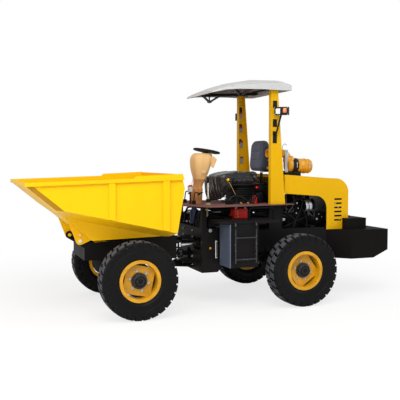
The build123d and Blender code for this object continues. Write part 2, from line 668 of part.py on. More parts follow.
def make_side_steps():
    """Step plates over the tanks, folded down at their edges."""
    step = block(*STEP_X, *STEP_Y, STEP_TOP_Z - STEP_T, STEP_TOP_Z)
    tray = block(STEP_X[0] + 4, STEP_X[1] - 4, STEP_Y[0] - 1, STEP_Y[1] - 4, STEP_TOP_Z - STEP_T - 1,
                 STEP_TOP_Z - 5)
    step -= tray
    step += block(STEP_X[0], STEP_X[1], STEP_Y[0], STEP_Y[0] + 5, STEP_TOP_Z - 90, STEP_TOP_Z)
    for x in (-1090.0, -1430.0, -1690.0):
        web = side_prism([(x, STEP_TOP_Z - 5), (x - 6, STEP_TOP_Z - 5), (x - 6, STEP_TOP_Z - STEP_T),
                          (x, STEP_TOP_Z - STEP_T)], STEP_Y[0], STEP_Y[1] - 2)
        step += web
    return both_sides(step)


def make_step_hoops():
    """Hoops of round bar standing on the step plates."""
    foot, top = STEP_TOP_Z + RUN_GAP, STEP_TOP_Z + HOOP_H
    hoop = bent_bar([(HOOP_X[1], HOOP_Y, foot), (HOOP_X[1], HOOP_Y, top), (HOOP_X[0], HOOP_Y, top),
                     (HOOP_X[0], HOOP_Y, foot)], HOOP_BEND, 11)
    return both_sides(hoop)


def make_ladders():
    """Bent rails with two rungs outside each tank."""
    out, high = STEP_Y[1] + LADDER_OUT, STEP_TOP_Z - 22
    ladder = None
    for x in LADDER_X:
        rail = bent_bar([(x, STEP_Y[1] + RUN_GAP, high), (x, out, high), (x, out, 555)], 30, 9)
        ladder = rail if ladder is None else ladder + rail
        ladder += block(x - 5, x + 5, TANK_Y[1] + RUN_GAP, out + 2, 655, 675)
    for z in (850.0, 602.0):
        ladder += rod((LADDER_X[0] - 1, out, z), (LADDER_X[1] + 1, out, z), 8)
    return both_sides(ladder)


parts["side_steps"] = make_side_steps()
parts["step_hoops"] = make_step_hoops()
parts["ladders"] = make_ladders()


# ---------------------------------------------------------------- driver's controls
def make_console():
    """Moulded steering console: a waisted column with a bulbous head."""
    rows = [
        # Z, front X, rear X, half width
        (DECK_TOP_Z + RUN_GAP, -945, -1060, 90), (1380, -950, -1062, 92), (1500, -958, -1074, 98),
        (1590, -936, -1108, 128), (1700, -922, -1142, 150), (1775, -928, -1158, 146),
        (1824, -968, -1146, 104),
    ]
    faces = []
    for z, x0, x1, half in rows:
        rect = RectangleRounded(abs(x1 - x0), 2 * half, min(half, abs(x1 - x0) / 2) * 0.7)
        faces.append(Pos((x0 + x1) / 2, 0, z) * rect)
    return loft(faces[:2], ruled=True) + loft(faces[1:])



WHEEL_TILT = 10.0
WHEEL_RING_R = 158.0
WHEEL_RING_SECTION = 13.5
COLUMN_R = 17.0
COLUMN_DOWN = 105.0
STEER_HUB = Plane(origin=(-1113, 0, 1851), x_dir=(1, 0, 0), z_dir=(0, 0, 1)).rotated((0, -WHEEL_TILT, 0))


def make_steering_wheel():
    ring = Torus(WHEEL_RING_R, WHEEL_RING_SECTION)
    wheel = ring + Pos(0, 0, -6) * Cylinder(32, 26)
    for angle in (90, 210, 330):
        spoke = Pos(WHEEL_RING_R / 2, 0, -4) * Box(WHEEL_RING_R - 10, 26, 9)
        wheel += Rot(0, 0, angle) * spoke
    column = Pos(0, 0, -COLUMN_DOWN / 2) * Cylinder(COLUMN_R, COLUMN_DOWN)
    return STEER_HUB * (wheel + column)


parts["steering_wheel"] = make_steering_wheel()
column_bore = Pos(0, 0, -COLUMN_DOWN / 2 - 5) * Cylinder(COLUMN_R + PIN_GAP, COLUMN_DOWN + 10)
parts["console"] = make_console() - STEER_HUB * column_bore


def make_controls():
    """Brake and clutch pedals, fluid reservoir, shift and dump levers."""
    z0 = DECK_TOP_Z + RUN_GAP
    pedals = None
    for y in (-165, 165):
        one = block(-900, -860, y - 25, y + 25, z0, z0 + 45)
        one += bent_bar([(-880, y, z0 + 40), (-895, y, z0 + 150), (-960, y, z0 + 130)], 18, 7)
        one += Pos(-962, y, z0 + 128) * Rot(0, 30, 0) * Box(70, 56, 9)
        pedals = one if pedals is None else pedals + one
    tank = rod((-835, 165, z0), (-835, 165, z0 + 160), 9)
    tank += rod((-835, 165, z0 + 150), (-835, 165, z0 + 222), 30)
    pedals += tank + rod((-835, 165, z0 + 222), (-835, 165, z0 + 236), 20)
    levers = None
    for x, y, top_x, top_z in ((-1020, 290, -1018, 1490), (-1395, 290, -1290, 1480)):
        one = rod((x, y, z0), (x, y, z0 + 70), 26)
        one += rod((x, y, z0 + 60), (top_x, y, top_z), 7)
        one += Pos(top_x, y, top_z) * Sphere(17)
        levers = one if levers is None else levers + one
    return pedals + levers


parts["controls"] = make_controls()


def rounded_slab(x0, x1, half, z0, z1, radius):
    """Slab with rounded upright corners."""
    rect = RectangleRounded(abs(x1 - x0), 2 * half, radius)
    return Pos((x0 + x1) / 2, 0, z0) * extrude(rect, z1 - z0)


def make_seat_base():
    """Suspension seat base: frame and rubber bellows."""
    z0 = DECK_TOP_Z + RUN_GAP
    base = rounded_slab(-1395, -1790, 200, z0, z0 + 24, 20)
    folds = 7
    pitch = 28.0
    for i in range(folds):
        z = z0 + 24 + i * pitch
        base += rounded_slab(-1405, -1780, 192, z, z + pitch * 0.62, 45)
        base += rounded_slab(-1418, -1767, 179, z + pitch * 0.62, z + pitch, 40)
    base += rounded_slab(-1385, -1800, 210, z0 + 24 + folds * pitch, z0 + 24 + folds * pitch + 26, 25)
    return base


parts["seat_base"] = make_seat_base()
SEAT_BASE_TOP = DECK_TOP_Z + RUN_GAP + 24 + 7 * 28.0 + 26
SEAT_TOP_Z = 1592.0
cushion = rounded_slab(-1192, -1755, SEAT_HALF_W, SEAT_BASE_TOP + RUN_GAP, SEAT_TOP_Z, 70)
cushion = fillet(cushion.faces().sort_by(Axis.Z)[-1].edges(), 35)
parts["seat_cushion"] = cushion


def make_seat_back():
    """Back rest, leaning slightly, with its hinge brackets."""
    rect = Plane.YZ * Pos(0, 215) * RectangleRounded(2 * SEAT_HALF_W - 20, 430, 85)
    back = extrude(rect, -95)
    back = fillet(back.edges().filter_by(GeomType.LINE, reverse=True).group_by(Axis.X)[-1], 20)
    back = Pos(-1775, 0, 1575) * Rot(0, -4, 0) * back
    for s in (-1, 1):
        back += block(-1800, -1784, s * 140, s * 190, SEAT_BASE_TOP + RUN_GAP, 1640)
    return back


parts["seat_back"] = make_seat_back()


def make_posts():
    """Two folded channel posts, open towards the driver."""
    foot_z = DECK_TOP_Z + RUN_GAP
    x_foot, x_head = POST_X - POST_FOOT, POST_X - POST_HEAD
    outline = [(POST_X, foot_z), (x_foot, foot_z), (x_head, POST_TOP_Z), (POST_X, POST_TOP_Z)]
    y_in = POST_HALF_W - POST_FLANGE
    post = side_prism(outline, y_in, POST_HALF_W)
    hollow = [
        (POST_X - POST_WALL, foot_z + POST_WALL), (x_foot + POST_WALL, foot_z + POST_WALL),
        (x_head + POST_WALL, POST_TOP_Z - POST_WALL), (POST_X - POST_WALL, POST_TOP_Z - POST_WALL),
    ]
    post -= side_prism(hollow, y_in - 1, POST_HALF_W - POST_WALL)
    slots = [
        # Z, half height
        (2410.0, 40.0), (2185.0, 42.0), (1985.0, 38.0),
    ]
    for z, half in slots:
        slot = RectangleRounded(46, 2 * half, 20)
        cut = Pos(POST_X - 52, POST_HALF_W + 5, z) * extrude(Plane.XZ * slot, 30)
        post -= cut
    return both_sides(post)


parts["posts"] = make_posts()

SPINE_X = (-1045.0, -1800.0)      # ends of the canopy frame's middle bar
SIDE_BAR_X = (-1215.0, -1900.0)
SIDE_BAR_Y = POST_HALF_W - 18.0    # side bars sit on the posts' heads
APEX_X = -1570.0                  # where the braces meet the middle bar
BRACE_X = (-1255.0, -1515.0)      # where they meet the side bars
ROOF_STATIONS = [
    # X, half width, lower edge Z, upper edge Z, crown Z
    (-1010, 440, 2532, 2550, 2575),
    (-1150, 530, 2562, 2594, 2632),
    (-1320, 558, 2574, 2630, 2684),
    (-1620, 562, 2580, 2668, 2738),
    (-1880, 560, 2576, 2678, 2742),
    (-2010, 548, 2580, 2640, 2692),
]


def roof_section(row, wall, lower):
    x, half, low, high, crown = row
    half, high, crown = half - wall, high - wall, crown - wall
    low -= lower
    edges = Polyline((-half, high), (-half, low), (half, low), (half, high))
    arc = ThreePointArc((half, high), (0, crown), (-half, high))
    return Pos(x, 0, 0) * (Plane.YZ * make_face(edges.edges() + arc.edges()))


def make_roof():
    """Moulded canopy: crowned shell with turned-down edges."""
    outer = loft([roof_section(r, 0, 0) for r in ROOF_STATIONS], ruled=True)
    rows = [list(r) for r in ROOF_STATIONS]
    rows[0][0] += -8
    rows[-1][0] += 8
    inner = loft([roof_section(r, 6, 12) for r in rows], ruled=True)
    return outer - inner


parts["roof"] = make_roof()


def spine_z(x):
    """Height of the canopy frame's middle bar."""
    return 2534.0 + (SPINE_X[0] - x) * 0.0574


def make_roof_frame():
    """Angle-iron frame under the canopy: middle bar, side bars and braces."""
    front, rear = SPINE_X
    frame = side_prism([
        (front, spine_z(front) - 13), (front, spine_z(front) + 13), (rear, spine_z(rear) + 13),
        (rear, spine_z(rear) - 13),
    ], -15, 15)
    frame += block(POST_X - POST_HEAD - 4, POST_X - 2, -POST_HALF_W, POST_HALF_W,
                   POST_TOP_Z + RUN_GAP, POST_TOP_Z + 20)
    frame += block(POST_X - 60, POST_X - 30, -20, 20, spine_z(rear) - 4, POST_TOP_Z + 2)
    for s in (-1, 1):
        frame += block(SIDE_BAR_X[1], SIDE_BAR_X[0], s * (SIDE_BAR_Y - 12), s * (SIDE_BAR_Y + 12),
                       POST_TOP_Z + RUN_GAP, POST_TOP_Z + 20)
        for x in BRACE_X:
            frame += rod((APEX_X, 0, spine_z(APEX_X)), (x, s * SIDE_BAR_Y, POST_TOP_Z + 10), 9)
        frame += rod((front + 8, 0, spine_z(front)),
                     (SIDE_BAR_X[0] - 8, s * SIDE_BAR_Y, POST_TOP_Z + 10), 8)
    return frame


parts["roof_frame"] = make_roof_frame() - parts["roof"]


LAMP_FOOT_Z = 2050.0


def make_lamps():
    """Work lamps on bent arms at the posts."""
    yaw = 48.0
    head = Rot(0, 0, yaw) * (Box(62, 168, 96) - Pos(32, 0, 0) * Box(10, 152, 80))
    x, y, z = POST_X - 50, POST_HALF_W, LAMP_FOOT_Z
    head = Pos(x - 44, y + 97, z + 274) * head
    arm = bent_bar([(x, y + RUN_GAP, z), (x, y + 37, z), (x - 50, y + 77, z + 246)], 18, 11)
    foot = block(x - 26, x + 26, y + RUN_GAP, y + 8, z - 25, z + 35)
    return both_sides(head + arm + foot)


lamps = make_lamps()
parts["work_lamps"] = lamps


# ---------------------------------------------------------------- engine bay
ENGINE_X = (-2470.0, -1960.0)
MANIFOLD_Y = 165.0
MANIFOLD_R = 34.0


def make_engine():
    """Block with head, rocker cover, sump, flywheel housing and mounts."""
    rear, front = ENGINE_X
    engine = block(rear, front, -150, 150, 820, 1140)
    engine += block(rear + 15, front - 10, -125, 125, 1140, 1225)
    cover = block(rear + 35, front - 30, -85, 70, 1225, 1290)
    engine += fillet(cover.edges().filter_by(Axis.X).group_by(Axis.Z)[-1], 25)
    engine += side_prism([(rear + 10, 820), (front - 10, 820), (front - 60, 700), (rear + 120, 640),
                          (rear + 30, 640)], -110, 110)
    engine += rod((front - 5, 0, CRANK_Z), (-1852, 0, CRANK_Z), 190)
    engine += block(rear + 60, rear + 120, -440, -150, RAIL_TOP_Z + RUN_GAP, RAIL_TOP_Z + 26)
    engine += block(rear + 60, rear + 120, 150, 440, RAIL_TOP_Z + RUN_GAP, RAIL_TOP_Z + 26)
    # intake manifold on the left, exhaust manifold on the right
    engine += rod((rear + 60, 165, 1150), (front - 60, 165, 1150), 38)
    engine += rod((rear + 60, -MANIFOLD_Y, 1140), (front - 60, -MANIFOLD_Y, 1140), MANIFOLD_R)
    for i in range(4):
        x = rear + 90 + i * 110
        engine += rod((x, 120, 1150), (x, 165, 1150), 24)
        engine += rod((x, -120, 1140), (x, -MANIFOLD_Y, 1140), 22)
    return engine


parts["engine"] = make_engine() - parts["gearbox"]


def make_engine_drive():
    """Crank and water pump pulleys, belt, cooling fan and alternator."""
    rear = ENGINE_X[0]
    drive = rod((rear, 0, 900), (rear - 55, 0, 900), 82)
    drive += rod((rear, 0, 1120), (rear - 88, 0, 1120), 55)
    for i in range(6):
        blade = Pos(rear - 76, 0, 1120) * Rot(i * 60, 0, 0) * Pos(0, 0, 118) * Rot(0, 0, 28)
        drive += blade * Box(5, 62, 160)
    # alternator carried on a bracket on the left
    drive += rod((-2400, 330, 1160), (-2300, 330, 1160), 68)
    drive += rod((-2440, 330, 1160), (-2400, 330, 1160), 40)
    drive += rod((-2455, 330, 1160), (-2440, 330, 1160), 46)
    drive += block(-2380, -2310, 151, 300, 1105, 1125)
    drive += block(-2380, -2310, 200, 275, 1125, 1150)
    return drive


parts["engine_drive"] = make_engine_drive() - parts["engine"]


RADIATOR_X = (-2725.0, -2655.0)
RADIATOR_HALF_W = 370.0
RADIATOR_Z = (905.0, 1400.0)
RADIATOR_EDGE = 40.0


def make_radiator():
    """Radiator core in its frame, standing on the rear cross member."""
    (x0, x1), (z0, z1) = RADIATOR_X, RADIATOR_Z
    half = RADIATOR_HALF_W - RADIATOR_EDGE
    window = (z0 + RADIATOR_EDGE + 10, z1 - RADIATOR_EDGE - 20)
    frame = block(x0, x1, -RADIATOR_HALF_W, RADIATOR_HALF_W, z0, z1)
    frame -= block(x0 - 1, x1 + 1, -half, half, *window)
    core = block(x0 + 7, x1 - 7, -half, half, *window)
    feet = block(x0 + 10, x1 - 10, -430, 430, CW_TOP_Z + RUN_GAP, z0)
    middle = (x0 + x1) / 2
    cap = rod((middle, 180, z1), (middle, 180, z1 + 25), 28)
    return frame + core + feet + cap


EXHAUST_Y = -300.0


def make_exhaust():
    """Silencer on the right of the engine and its tail pipe."""
    can = rod((-2440, EXHAUST_Y, 1120), (-2060, EXHAUST_Y, 1120), 70)
    can += rod((-2250, -MANIFOLD_Y - MANIFOLD_R - RUN_GAP, 1140), (-2250, EXHAUST_Y, 1140), 22)
    return can + bent_bar([(-2065, EXHAUST_Y, 1120), (-1990, EXHAUST_Y, 1120),
                           (-1990, EXHAUST_Y, 640)], 55, 24)


HOOD_REAR_Z = 1506.0              # top sheet where the rear radius begins
HOOD_RADIUS = 150.0


def hood_top(x):
    """Height of the hood's top sheet."""
    run = HOOD_FRONT_X - (HOOD_REAR_X + HOOD_RADIUS + 60)
    return HOOD_TOP_Z - (HOOD_FRONT_X - x) * (HOOD_TOP_Z - HOOD_REAR_Z) / run


def hood_outline(inset):
    """Side view of the hood: level top, large rear radius, upright tail."""
    front, rear = HOOD_FRONT_X - inset, HOOD_REAR_X + inset
    top_f, top_r = HOOD_TOP_Z - inset, HOOD_REAR_Z - inset
    radius = HOOD_RADIUS - inset
    line_a = Line((front, HOOD_BOTTOM_Z - (1 if inset else 0)), (front, top_f))
    line_b = Line((front, top_f), (rear + radius + 60, top_r + 0))
    line_c = Line((rear, top_r - radius - 5), (rear, HOOD_BOTTOM_Z - (1 if inset else 0)))
    arc = SagittaArc(line_b @ 1, line_c @ 0, -0.34 * radius)
    base = Line(line_c @ 1, line_a @ 0)
    return make_face(line_a.edges() + line_b.edges() + arc.edges() + line_c.edges() + base.edges())


def make_hood():
    """Arched engine hood: side plates cut away, top sheet, rear grille."""
    outer = Pos(0, HOOD_HALF_W, 0) * extrude(Plane.XZ * hood_outline(0), 2 * HOOD_HALF_W)
    inner_half = HOOD_HALF_W - HOOD_T
    inner = Pos(0, inner_half, 0) * extrude(Plane.XZ * hood_outline(HOOD_T), 2 * inner_half)
    hood = outer - inner
    # front left open towards the seat
    hood -= block(HOOD_FRONT_X - HOOD_T - 1, HOOD_FRONT_X + 1, -inner_half, inner_half, 0,
                  HOOD_TOP_Z - 40)
    # arch in the side plates
    arch_top, arch_rear, arch_r = 1300.0, -2562.0, 165.0
    arch_outline = make_face(
        Polyline((HOOD_FRONT_X + 10, 0), (HOOD_FRONT_X + 10, arch_top + 28),
                 (arch_rear + arch_r, arch_top - 8)).edges()
        + ThreePointArc((arch_rear + arch_r, arch_top - 8),
                        (arch_rear + arch_r * 0.293, arch_top - 8 - arch_r * 0.293),
                        (arch_rear, arch_top - 8 - arch_r)).edges()
        + Polyline((arch_rear, arch_top - 8 - arch_r), (arch_rear, 0), (HOOD_FRONT_X + 10, 0)).edges())
    hood -= Pos(0, HOOD_HALF_W + 1, 0) * extrude(Plane.XZ * arch_outline, 2 * HOOD_HALF_W + 2)
    # side vents
    for i in range(6):
        z = 1243.0 - i * 53.0
        slot = RectangleRounded(110, 22, 8)
        hood -= Pos(-2728, HOOD_HALF_W + 1, z) * extrude(Plane.XZ * slot, 2 * HOOD_HALF_W + 2)
    # rear grille
    for i in range(9):
        z = 1060.0 + i * 30.0
        hood -= block(HOOD_REAR_X - 1, HOOD_REAR_X + HOOD_T + 1, -300, 300, z, z + 15)
    return hood


parts["radiator"] = make_radiator()
parts["exhaust"] = make_exhaust()
parts["hood"] = make_hood()


CLEANER_R = 92.0
CLEANER_X = (-2045.0, -2385.0)
CLEANER_Z = 1672.0
CLEANER_TILT = 2.5
ELBOW_R = 50.0
ELBOW_X = (-1800.0, -2085.0)      # mouth and riser
ELBOW_RISE = 150.0                # from the canister's axis to the mouth's axis


def make_air_cleaner():
    """Canister with strap, end cap and intake elbow on its bracket."""
    y = HOOD_HALF_W - 170
    length = CLEANER_X[0] - CLEANER_X[1]
    middle = (CLEANER_X[0] + CLEANER_X[1]) / 2
    mouth_z = CLEANER_Z + ELBOW_RISE
    can = Cylinder(CLEANER_R, length - 24, rotation=(0, 90, 0))
    can += Pos(-length / 2 + 6, 0, 0) * Cylinder(CLEANER_R - 9, 24, rotation=(0, 90, 0))
    can += Pos(-length / 2 + 90, 0, 0) * Cylinder(CLEANER_R + 4, 26, rotation=(0, 90, 0))
    can += Pos(length / 2 - 118, 0, 0) * Cylinder(CLEANER_R + 3, 46, rotation=(0, 90, 0))
    can = Pos(middle, y, CLEANER_Z) * Rot(0, -CLEANER_TILT, 0) * can
    elbow = bent_bar([(ELBOW_X[1], y, CLEANER_Z), (ELBOW_X[1], y, mouth_z), (ELBOW_X[0], y, mouth_z)],
                     68, ELBOW_R)
    elbow -= rod((ELBOW_X[0] - 60, y, mouth_z), (ELBOW_X[0] + 1, y, mouth_z), ELBOW_R - 5)
    x0, x1 = CLEANER_X[0] - 95, CLEANER_X[0] - 210
    stand = side_prism([(x0, hood_top(x0) + RUN_GAP), (x0, CLEANER_Z - 40), (x1, CLEANER_Z - 40),
                        (x1, hood_top(x1) + RUN_GAP)], y - 60, y + 60)
    return can + elbow + stand


parts["air_cleaner"] = make_air_cleaner()


# ---------------------------------------------------------------- ballast and services
def make_counterweight():
    half = [CW_FLARE[0], CW_FLARE[1], CW_FLARE[2]]
    plan = [(x, y) for x, y in half] + [(x, -y) for x, y in reversed(half)]
    body = plan_prism(plan, CW_BOTTOM_Z, CW_TOP_Z)
    body -= both_sides(block(RAIL_END_X - RUN_GAP, -2500, RAIL_HALF_W - RAIL_W - RUN_GAP,
                             RAIL_HALF_W + RUN_GAP, 600, 900))
    body -= block(-2640, -2500, -400, 400, 400, 900)
    chamfered = side_prism([
        (TAIL_X - 1, 598), (TAIL_X - 1, 400), (TAIL_X + 215, 400), (TAIL_X + 215, CW_BOTTOM_Z),
    ], -CW_HALF_W - 1, CW_HALF_W + 1)
    body -= chamfered
    body -= block(TAIL_X - 1, TAIL_X + TOW_NOTCH, -TOW_NOTCH_HALF_W, TOW_NOTCH_HALF_W, 400, 900)
    upper = block(-3098, -2790, -CW_BLOCK_HALF_W, CW_BLOCK_HALF_W, CW_TOP_Z, CW_BLOCK_TOP_Z)
    upper -= block(HOOD_REAR_X - 5, -2700, -HOOD_HALF_W - 5, HOOD_HALF_W + 5, CW_TOP_Z, 1100)
    return body + upper


parts["counterweight"] = make_counterweight()


def make_tow_hitch():
    """Two eyed plates on a back plate, in the notch of the tail."""
    back_x = TAIL_X + TOW_NOTCH - RUN_GAP
    hitch = block(back_x - 20, back_x, -78, 78, TOW_Z - 80, TOW_Z + 80)
    for z0 in (TOW_Z - TOW_JAW / 2 - TOW_PLATE_T, TOW_Z + TOW_JAW / 2):
        plate = plan_lug((TAIL_X + 58, 0), 50, (back_x - 19, -64), (back_x - 19, 64), z0,
                         z0 + TOW_PLATE_T)
        plate -= rod((TAIL_X + 58, 0, z0 - 1), (TAIL_X + 58, 0, z0 + TOW_PLATE_T + 1), TOW_PIN_R)
        hitch += plate
    return hitch


parts["tow_hitch"] = make_tow_hitch()
parts["battery"] = (
    block(-1485, -1300, 290, 440, RAIL_TOP_Z + RUN_GAP, RAIL_TOP_Z + 70)
    + block(-1478, -1307, 297, 433, RAIL_TOP_Z + 70, 1150)
)
FILTER_X = -925.0
parts["hydraulic_filter"] = (
    rod((FILTER_X, 60, 960), (FILTER_X, 60, 1130), 52)
    + rod((FILTER_X, 60, 1130), (FILTER_X, 60, DECK_TOP_Z - DECK_T - RUN_GAP), 34)
)

# ---------------------------------------------------------------- export
os.makedirs("parts", exist_ok=True)
for node, shape in parts.items():
    export_step(Pos(ORIGIN_SHIFT, 0, 0) * shape, f"parts/{node}.step")
print(len(parts), "nodes")
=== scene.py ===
"""Dress the articulated site dumper: fitted pieces, finishes, light and camera."""
from __future__ import annotations

import json
import logging
import math
from dataclasses import dataclass
from enum import Enum
from itertools import product
from typing import Callable, Sequence

import bmesh
import bpy
from mathutils import Matrix, Vector, noise

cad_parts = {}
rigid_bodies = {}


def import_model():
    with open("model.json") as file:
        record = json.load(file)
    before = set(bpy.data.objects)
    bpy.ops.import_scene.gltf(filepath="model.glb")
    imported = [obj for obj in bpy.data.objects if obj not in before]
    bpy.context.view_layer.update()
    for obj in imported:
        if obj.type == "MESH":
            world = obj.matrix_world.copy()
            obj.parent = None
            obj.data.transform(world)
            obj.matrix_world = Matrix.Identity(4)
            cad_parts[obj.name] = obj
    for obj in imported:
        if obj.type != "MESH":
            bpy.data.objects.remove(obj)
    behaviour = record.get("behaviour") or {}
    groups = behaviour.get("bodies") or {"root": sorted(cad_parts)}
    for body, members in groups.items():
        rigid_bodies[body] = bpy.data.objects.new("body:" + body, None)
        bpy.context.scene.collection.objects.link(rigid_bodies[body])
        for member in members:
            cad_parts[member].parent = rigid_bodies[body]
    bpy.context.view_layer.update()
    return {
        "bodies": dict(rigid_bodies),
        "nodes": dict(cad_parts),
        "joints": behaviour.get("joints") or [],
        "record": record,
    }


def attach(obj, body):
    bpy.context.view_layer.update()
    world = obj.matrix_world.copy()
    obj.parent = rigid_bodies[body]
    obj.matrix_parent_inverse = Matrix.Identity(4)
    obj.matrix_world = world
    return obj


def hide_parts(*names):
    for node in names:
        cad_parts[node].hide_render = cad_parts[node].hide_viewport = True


log = logging.getLogger("dumper")

Point = tuple[float, float, float]
Pair = tuple[float, float]
Mesh, Vert, Edge = bmesh.types.BMesh, bmesh.types.BMVert, bmesh.types.BMEdge
Solid, Face, Tree = bpy.types.Object, bpy.types.MeshPolygon, bpy.types.NodeTree
SIDES = ((1, "left"), (-1, "right"))
UP: Point = (0.0, 0.0, 1.0)
DOWN: Point = (0.0, 0.0, -1.0)
LEFT: Point = (0.0, 1.0, 0.0)
FORWARD: Point = (1.0, 0.0, 0.0)
FRONT_AXLE_X = 1.0775
REAR_AXLE_X = FRONT_AXLE_X - 2.016


def ahead(x: float) -> float:
    """Place along the machine, from a distance ahead of the front axle."""
    return FRONT_AXLE_X + x


def tone(red: int, green: int, blue: int) -> Point:
    """Linear colour from display values of 0 to 255."""
    def linear(value: int) -> float:
        """Linear share of one display value."""
        share = value / 255.0
        return share / 12.92 if share <= 0.04045 else ((share + 0.055) / 1.055) ** 2.4
    return linear(red), linear(green), linear(blue)


# ---- finishes
def add_node(tree: Tree, kind: str, sockets: dict[str | int, object],
             **settings: object) -> bpy.types.Node:
    """Add a shader node and wire it in one go.

    Args:
        tree: the tree to add to.
        kind: the node's type, without its ShaderNode prefix.
        sockets: for each input, by name or number, its value or the output that feeds it.
        settings: properties of the node itself, set before its inputs.

    Returns:
        The new node.
    """
    node = tree.nodes.new(f"ShaderNode{kind}")
    for name, value in settings.items():
        setattr(node, name, value)
    for name, value in sockets.items():
        if isinstance(value, bpy.types.NodeSocket):
            tree.links.new(value, node.inputs[name])
        else:
            node.inputs[name].default_value = value
    return node


def add_maths(tree: Tree, operation: str, *values: object,
              clamp: bool = False) -> bpy.types.NodeSocket:
    """Output of a maths node, from its values or the outputs that feed it."""
    return add_node(tree, "Math", dict(enumerate(values)), operation=operation,
                    use_clamp=clamp).outputs[0]


def add_blend(tree: Tree, share: object, under: object, over: object,
              blend_type: str = "MIX") -> bpy.types.NodeSocket:
    """Output of a colour mix, where share is how much of the upper colour shows."""
    return add_node(tree, "Mix", {0: share, 6: under, 7: over}, data_type="RGBA",
                    blend_type=blend_type).outputs[2]


class Coat(Enum):
    """Kinds of surface, which set the shader's fixed values."""

    PAINT = "paint"
    RUBBER = "rubber"
    PLASTIC = "plastic"
    METAL = "metal"
    VINYL = "vinyl"
    LENS = "lens"


class ShopGroups:
    """Shader node groups that the finishes share."""

    SHADE = (0.35, 0.33, 0.30, 1.0)
    CHIP_LIMIT = 0.92
    DULLING = 0.12

    @staticmethod
    def _new(name: str, inputs: Sequence[tuple[str, str, float]],
             outputs: Sequence[tuple[str, str]]) -> Tree:
        """Empty group with sockets.

        Args:
            name: the group's name.
            inputs: name, socket type and default of each input.
            outputs: name and socket type of each output.

        Returns:
            The node tree, with its input and output nodes.
        """
        tree = bpy.data.node_groups.new(name, "ShaderNodeTree")
        for label, kind, default in inputs:
            socket = tree.interface.new_socket(label, in_out="INPUT", socket_type=kind)
            if kind == "NodeSocketFloat":
                socket.default_value = default
        for label, kind in outputs:
            tree.interface.new_socket(label, in_out="OUTPUT", socket_type=kind)
        tree.nodes.new("NodeGroupInput")
        tree.nodes.new("NodeGroupOutput")
        return tree

    @classmethod
    def worn_paint(cls) -> Tree:
        """Colour that varies, chips at random and gathers dust on level faces."""
        found = bpy.data.node_groups.get("worn_paint")
        if found:
            return found
        tree = cls._new("worn_paint", [
            ("Colour", "NodeSocketColor", 0.0), ("Chip Colour", "NodeSocketColor", 0.0),
            ("Dust Colour", "NodeSocketColor", 0.0), ("Mottle", "NodeSocketFloat", 0.1),
            ("Chips", "NodeSocketFloat", 0.0), ("Dust", "NodeSocketFloat", 0.1),
            ("Scale", "NodeSocketFloat", 3.0),
        ], [("Colour", "NodeSocketColor"), ("Roughness Shift", "NodeSocketFloat")])
        entry, leave = tree.nodes["Group Input"].outputs, tree.nodes["Group Output"].inputs
        where = add_node(tree, "TexCoord", {}).outputs
        broad = add_node(tree, "TexNoise", {"Vector": where["Object"], "Scale": entry["Scale"],
                                            "Detail": 4.0}).outputs["Fac"]
        spread = add_node(tree, "MapRange", {"Value": broad, "From Min": 0.32,
                                             "From Max": 0.68}).outputs["Result"]
        shade_share = add_maths(tree, "MULTIPLY", spread, entry["Mottle"])
        darker = add_blend(tree, shade_share, entry["Colour"], cls.SHADE, "MULTIPLY")
        fine = add_node(tree, "TexNoise", {"Vector": where["Object"], "Scale": 46.0,
                                           "Detail": 6.0, "Roughness": 0.65}).outputs["Fac"]
        chip = add_maths(tree, "GREATER_THAN", fine,
                         add_maths(tree, "SUBTRACT", cls.CHIP_LIMIT, entry["Chips"]))
        chipped = add_blend(tree, chip, darker, entry["Chip Colour"])
        facing = add_node(tree, "SeparateXYZ", {0: where["Normal"]}).outputs["Z"]
        level = add_node(tree, "MapRange", {"Value": facing, "From Min": 0.2,
                                            "From Max": 1.0}).outputs["Result"]
        settled = add_maths(tree, "MULTIPLY", level, spread)
        dust = add_maths(tree, "MULTIPLY", settled, entry["Dust"])
        dusty = add_blend(tree, dust, chipped, entry["Dust Colour"])
        tree.links.new(dusty, leave["Colour"])
        dull = add_maths(tree, "MULTIPLY_ADD", spread, cls.DULLING, dust)
        tree.links.new(dull, leave["Roughness Shift"])
        return tree

    @classmethod
    def grain(cls) -> Tree:
        """Fine relief: speckle for castings and rubber, orange peel for paint."""
        found = bpy.data.node_groups.get("grain_relief")
        if found:
            return found
        tree = cls._new("grain_relief", [
            ("Scale", "NodeSocketFloat", 200.0), ("Ripple", "NodeSocketFloat", 0.3),
        ], [("Height", "NodeSocketFloat")])
        entry, leave = tree.nodes["Group Input"].outputs, tree.nodes["Group Output"].inputs
        where = add_node(tree, "TexCoord", {}).outputs["Object"]
        speck = add_node(tree, "TexNoise", {"Vector": where, "Scale": entry["Scale"],
                                            "Detail": 3.0}).outputs["Fac"]
        wave = add_node(tree, "TexNoise", {"Vector": where, "Scale": 7.0}).outputs["Fac"]
        mix = add_node(tree, "Mix", {0: entry["Ripple"], 2: speck, 3: wave}, data_type="FLOAT")
        tree.links.new(mix.outputs[0], leave["Height"])
        return tree


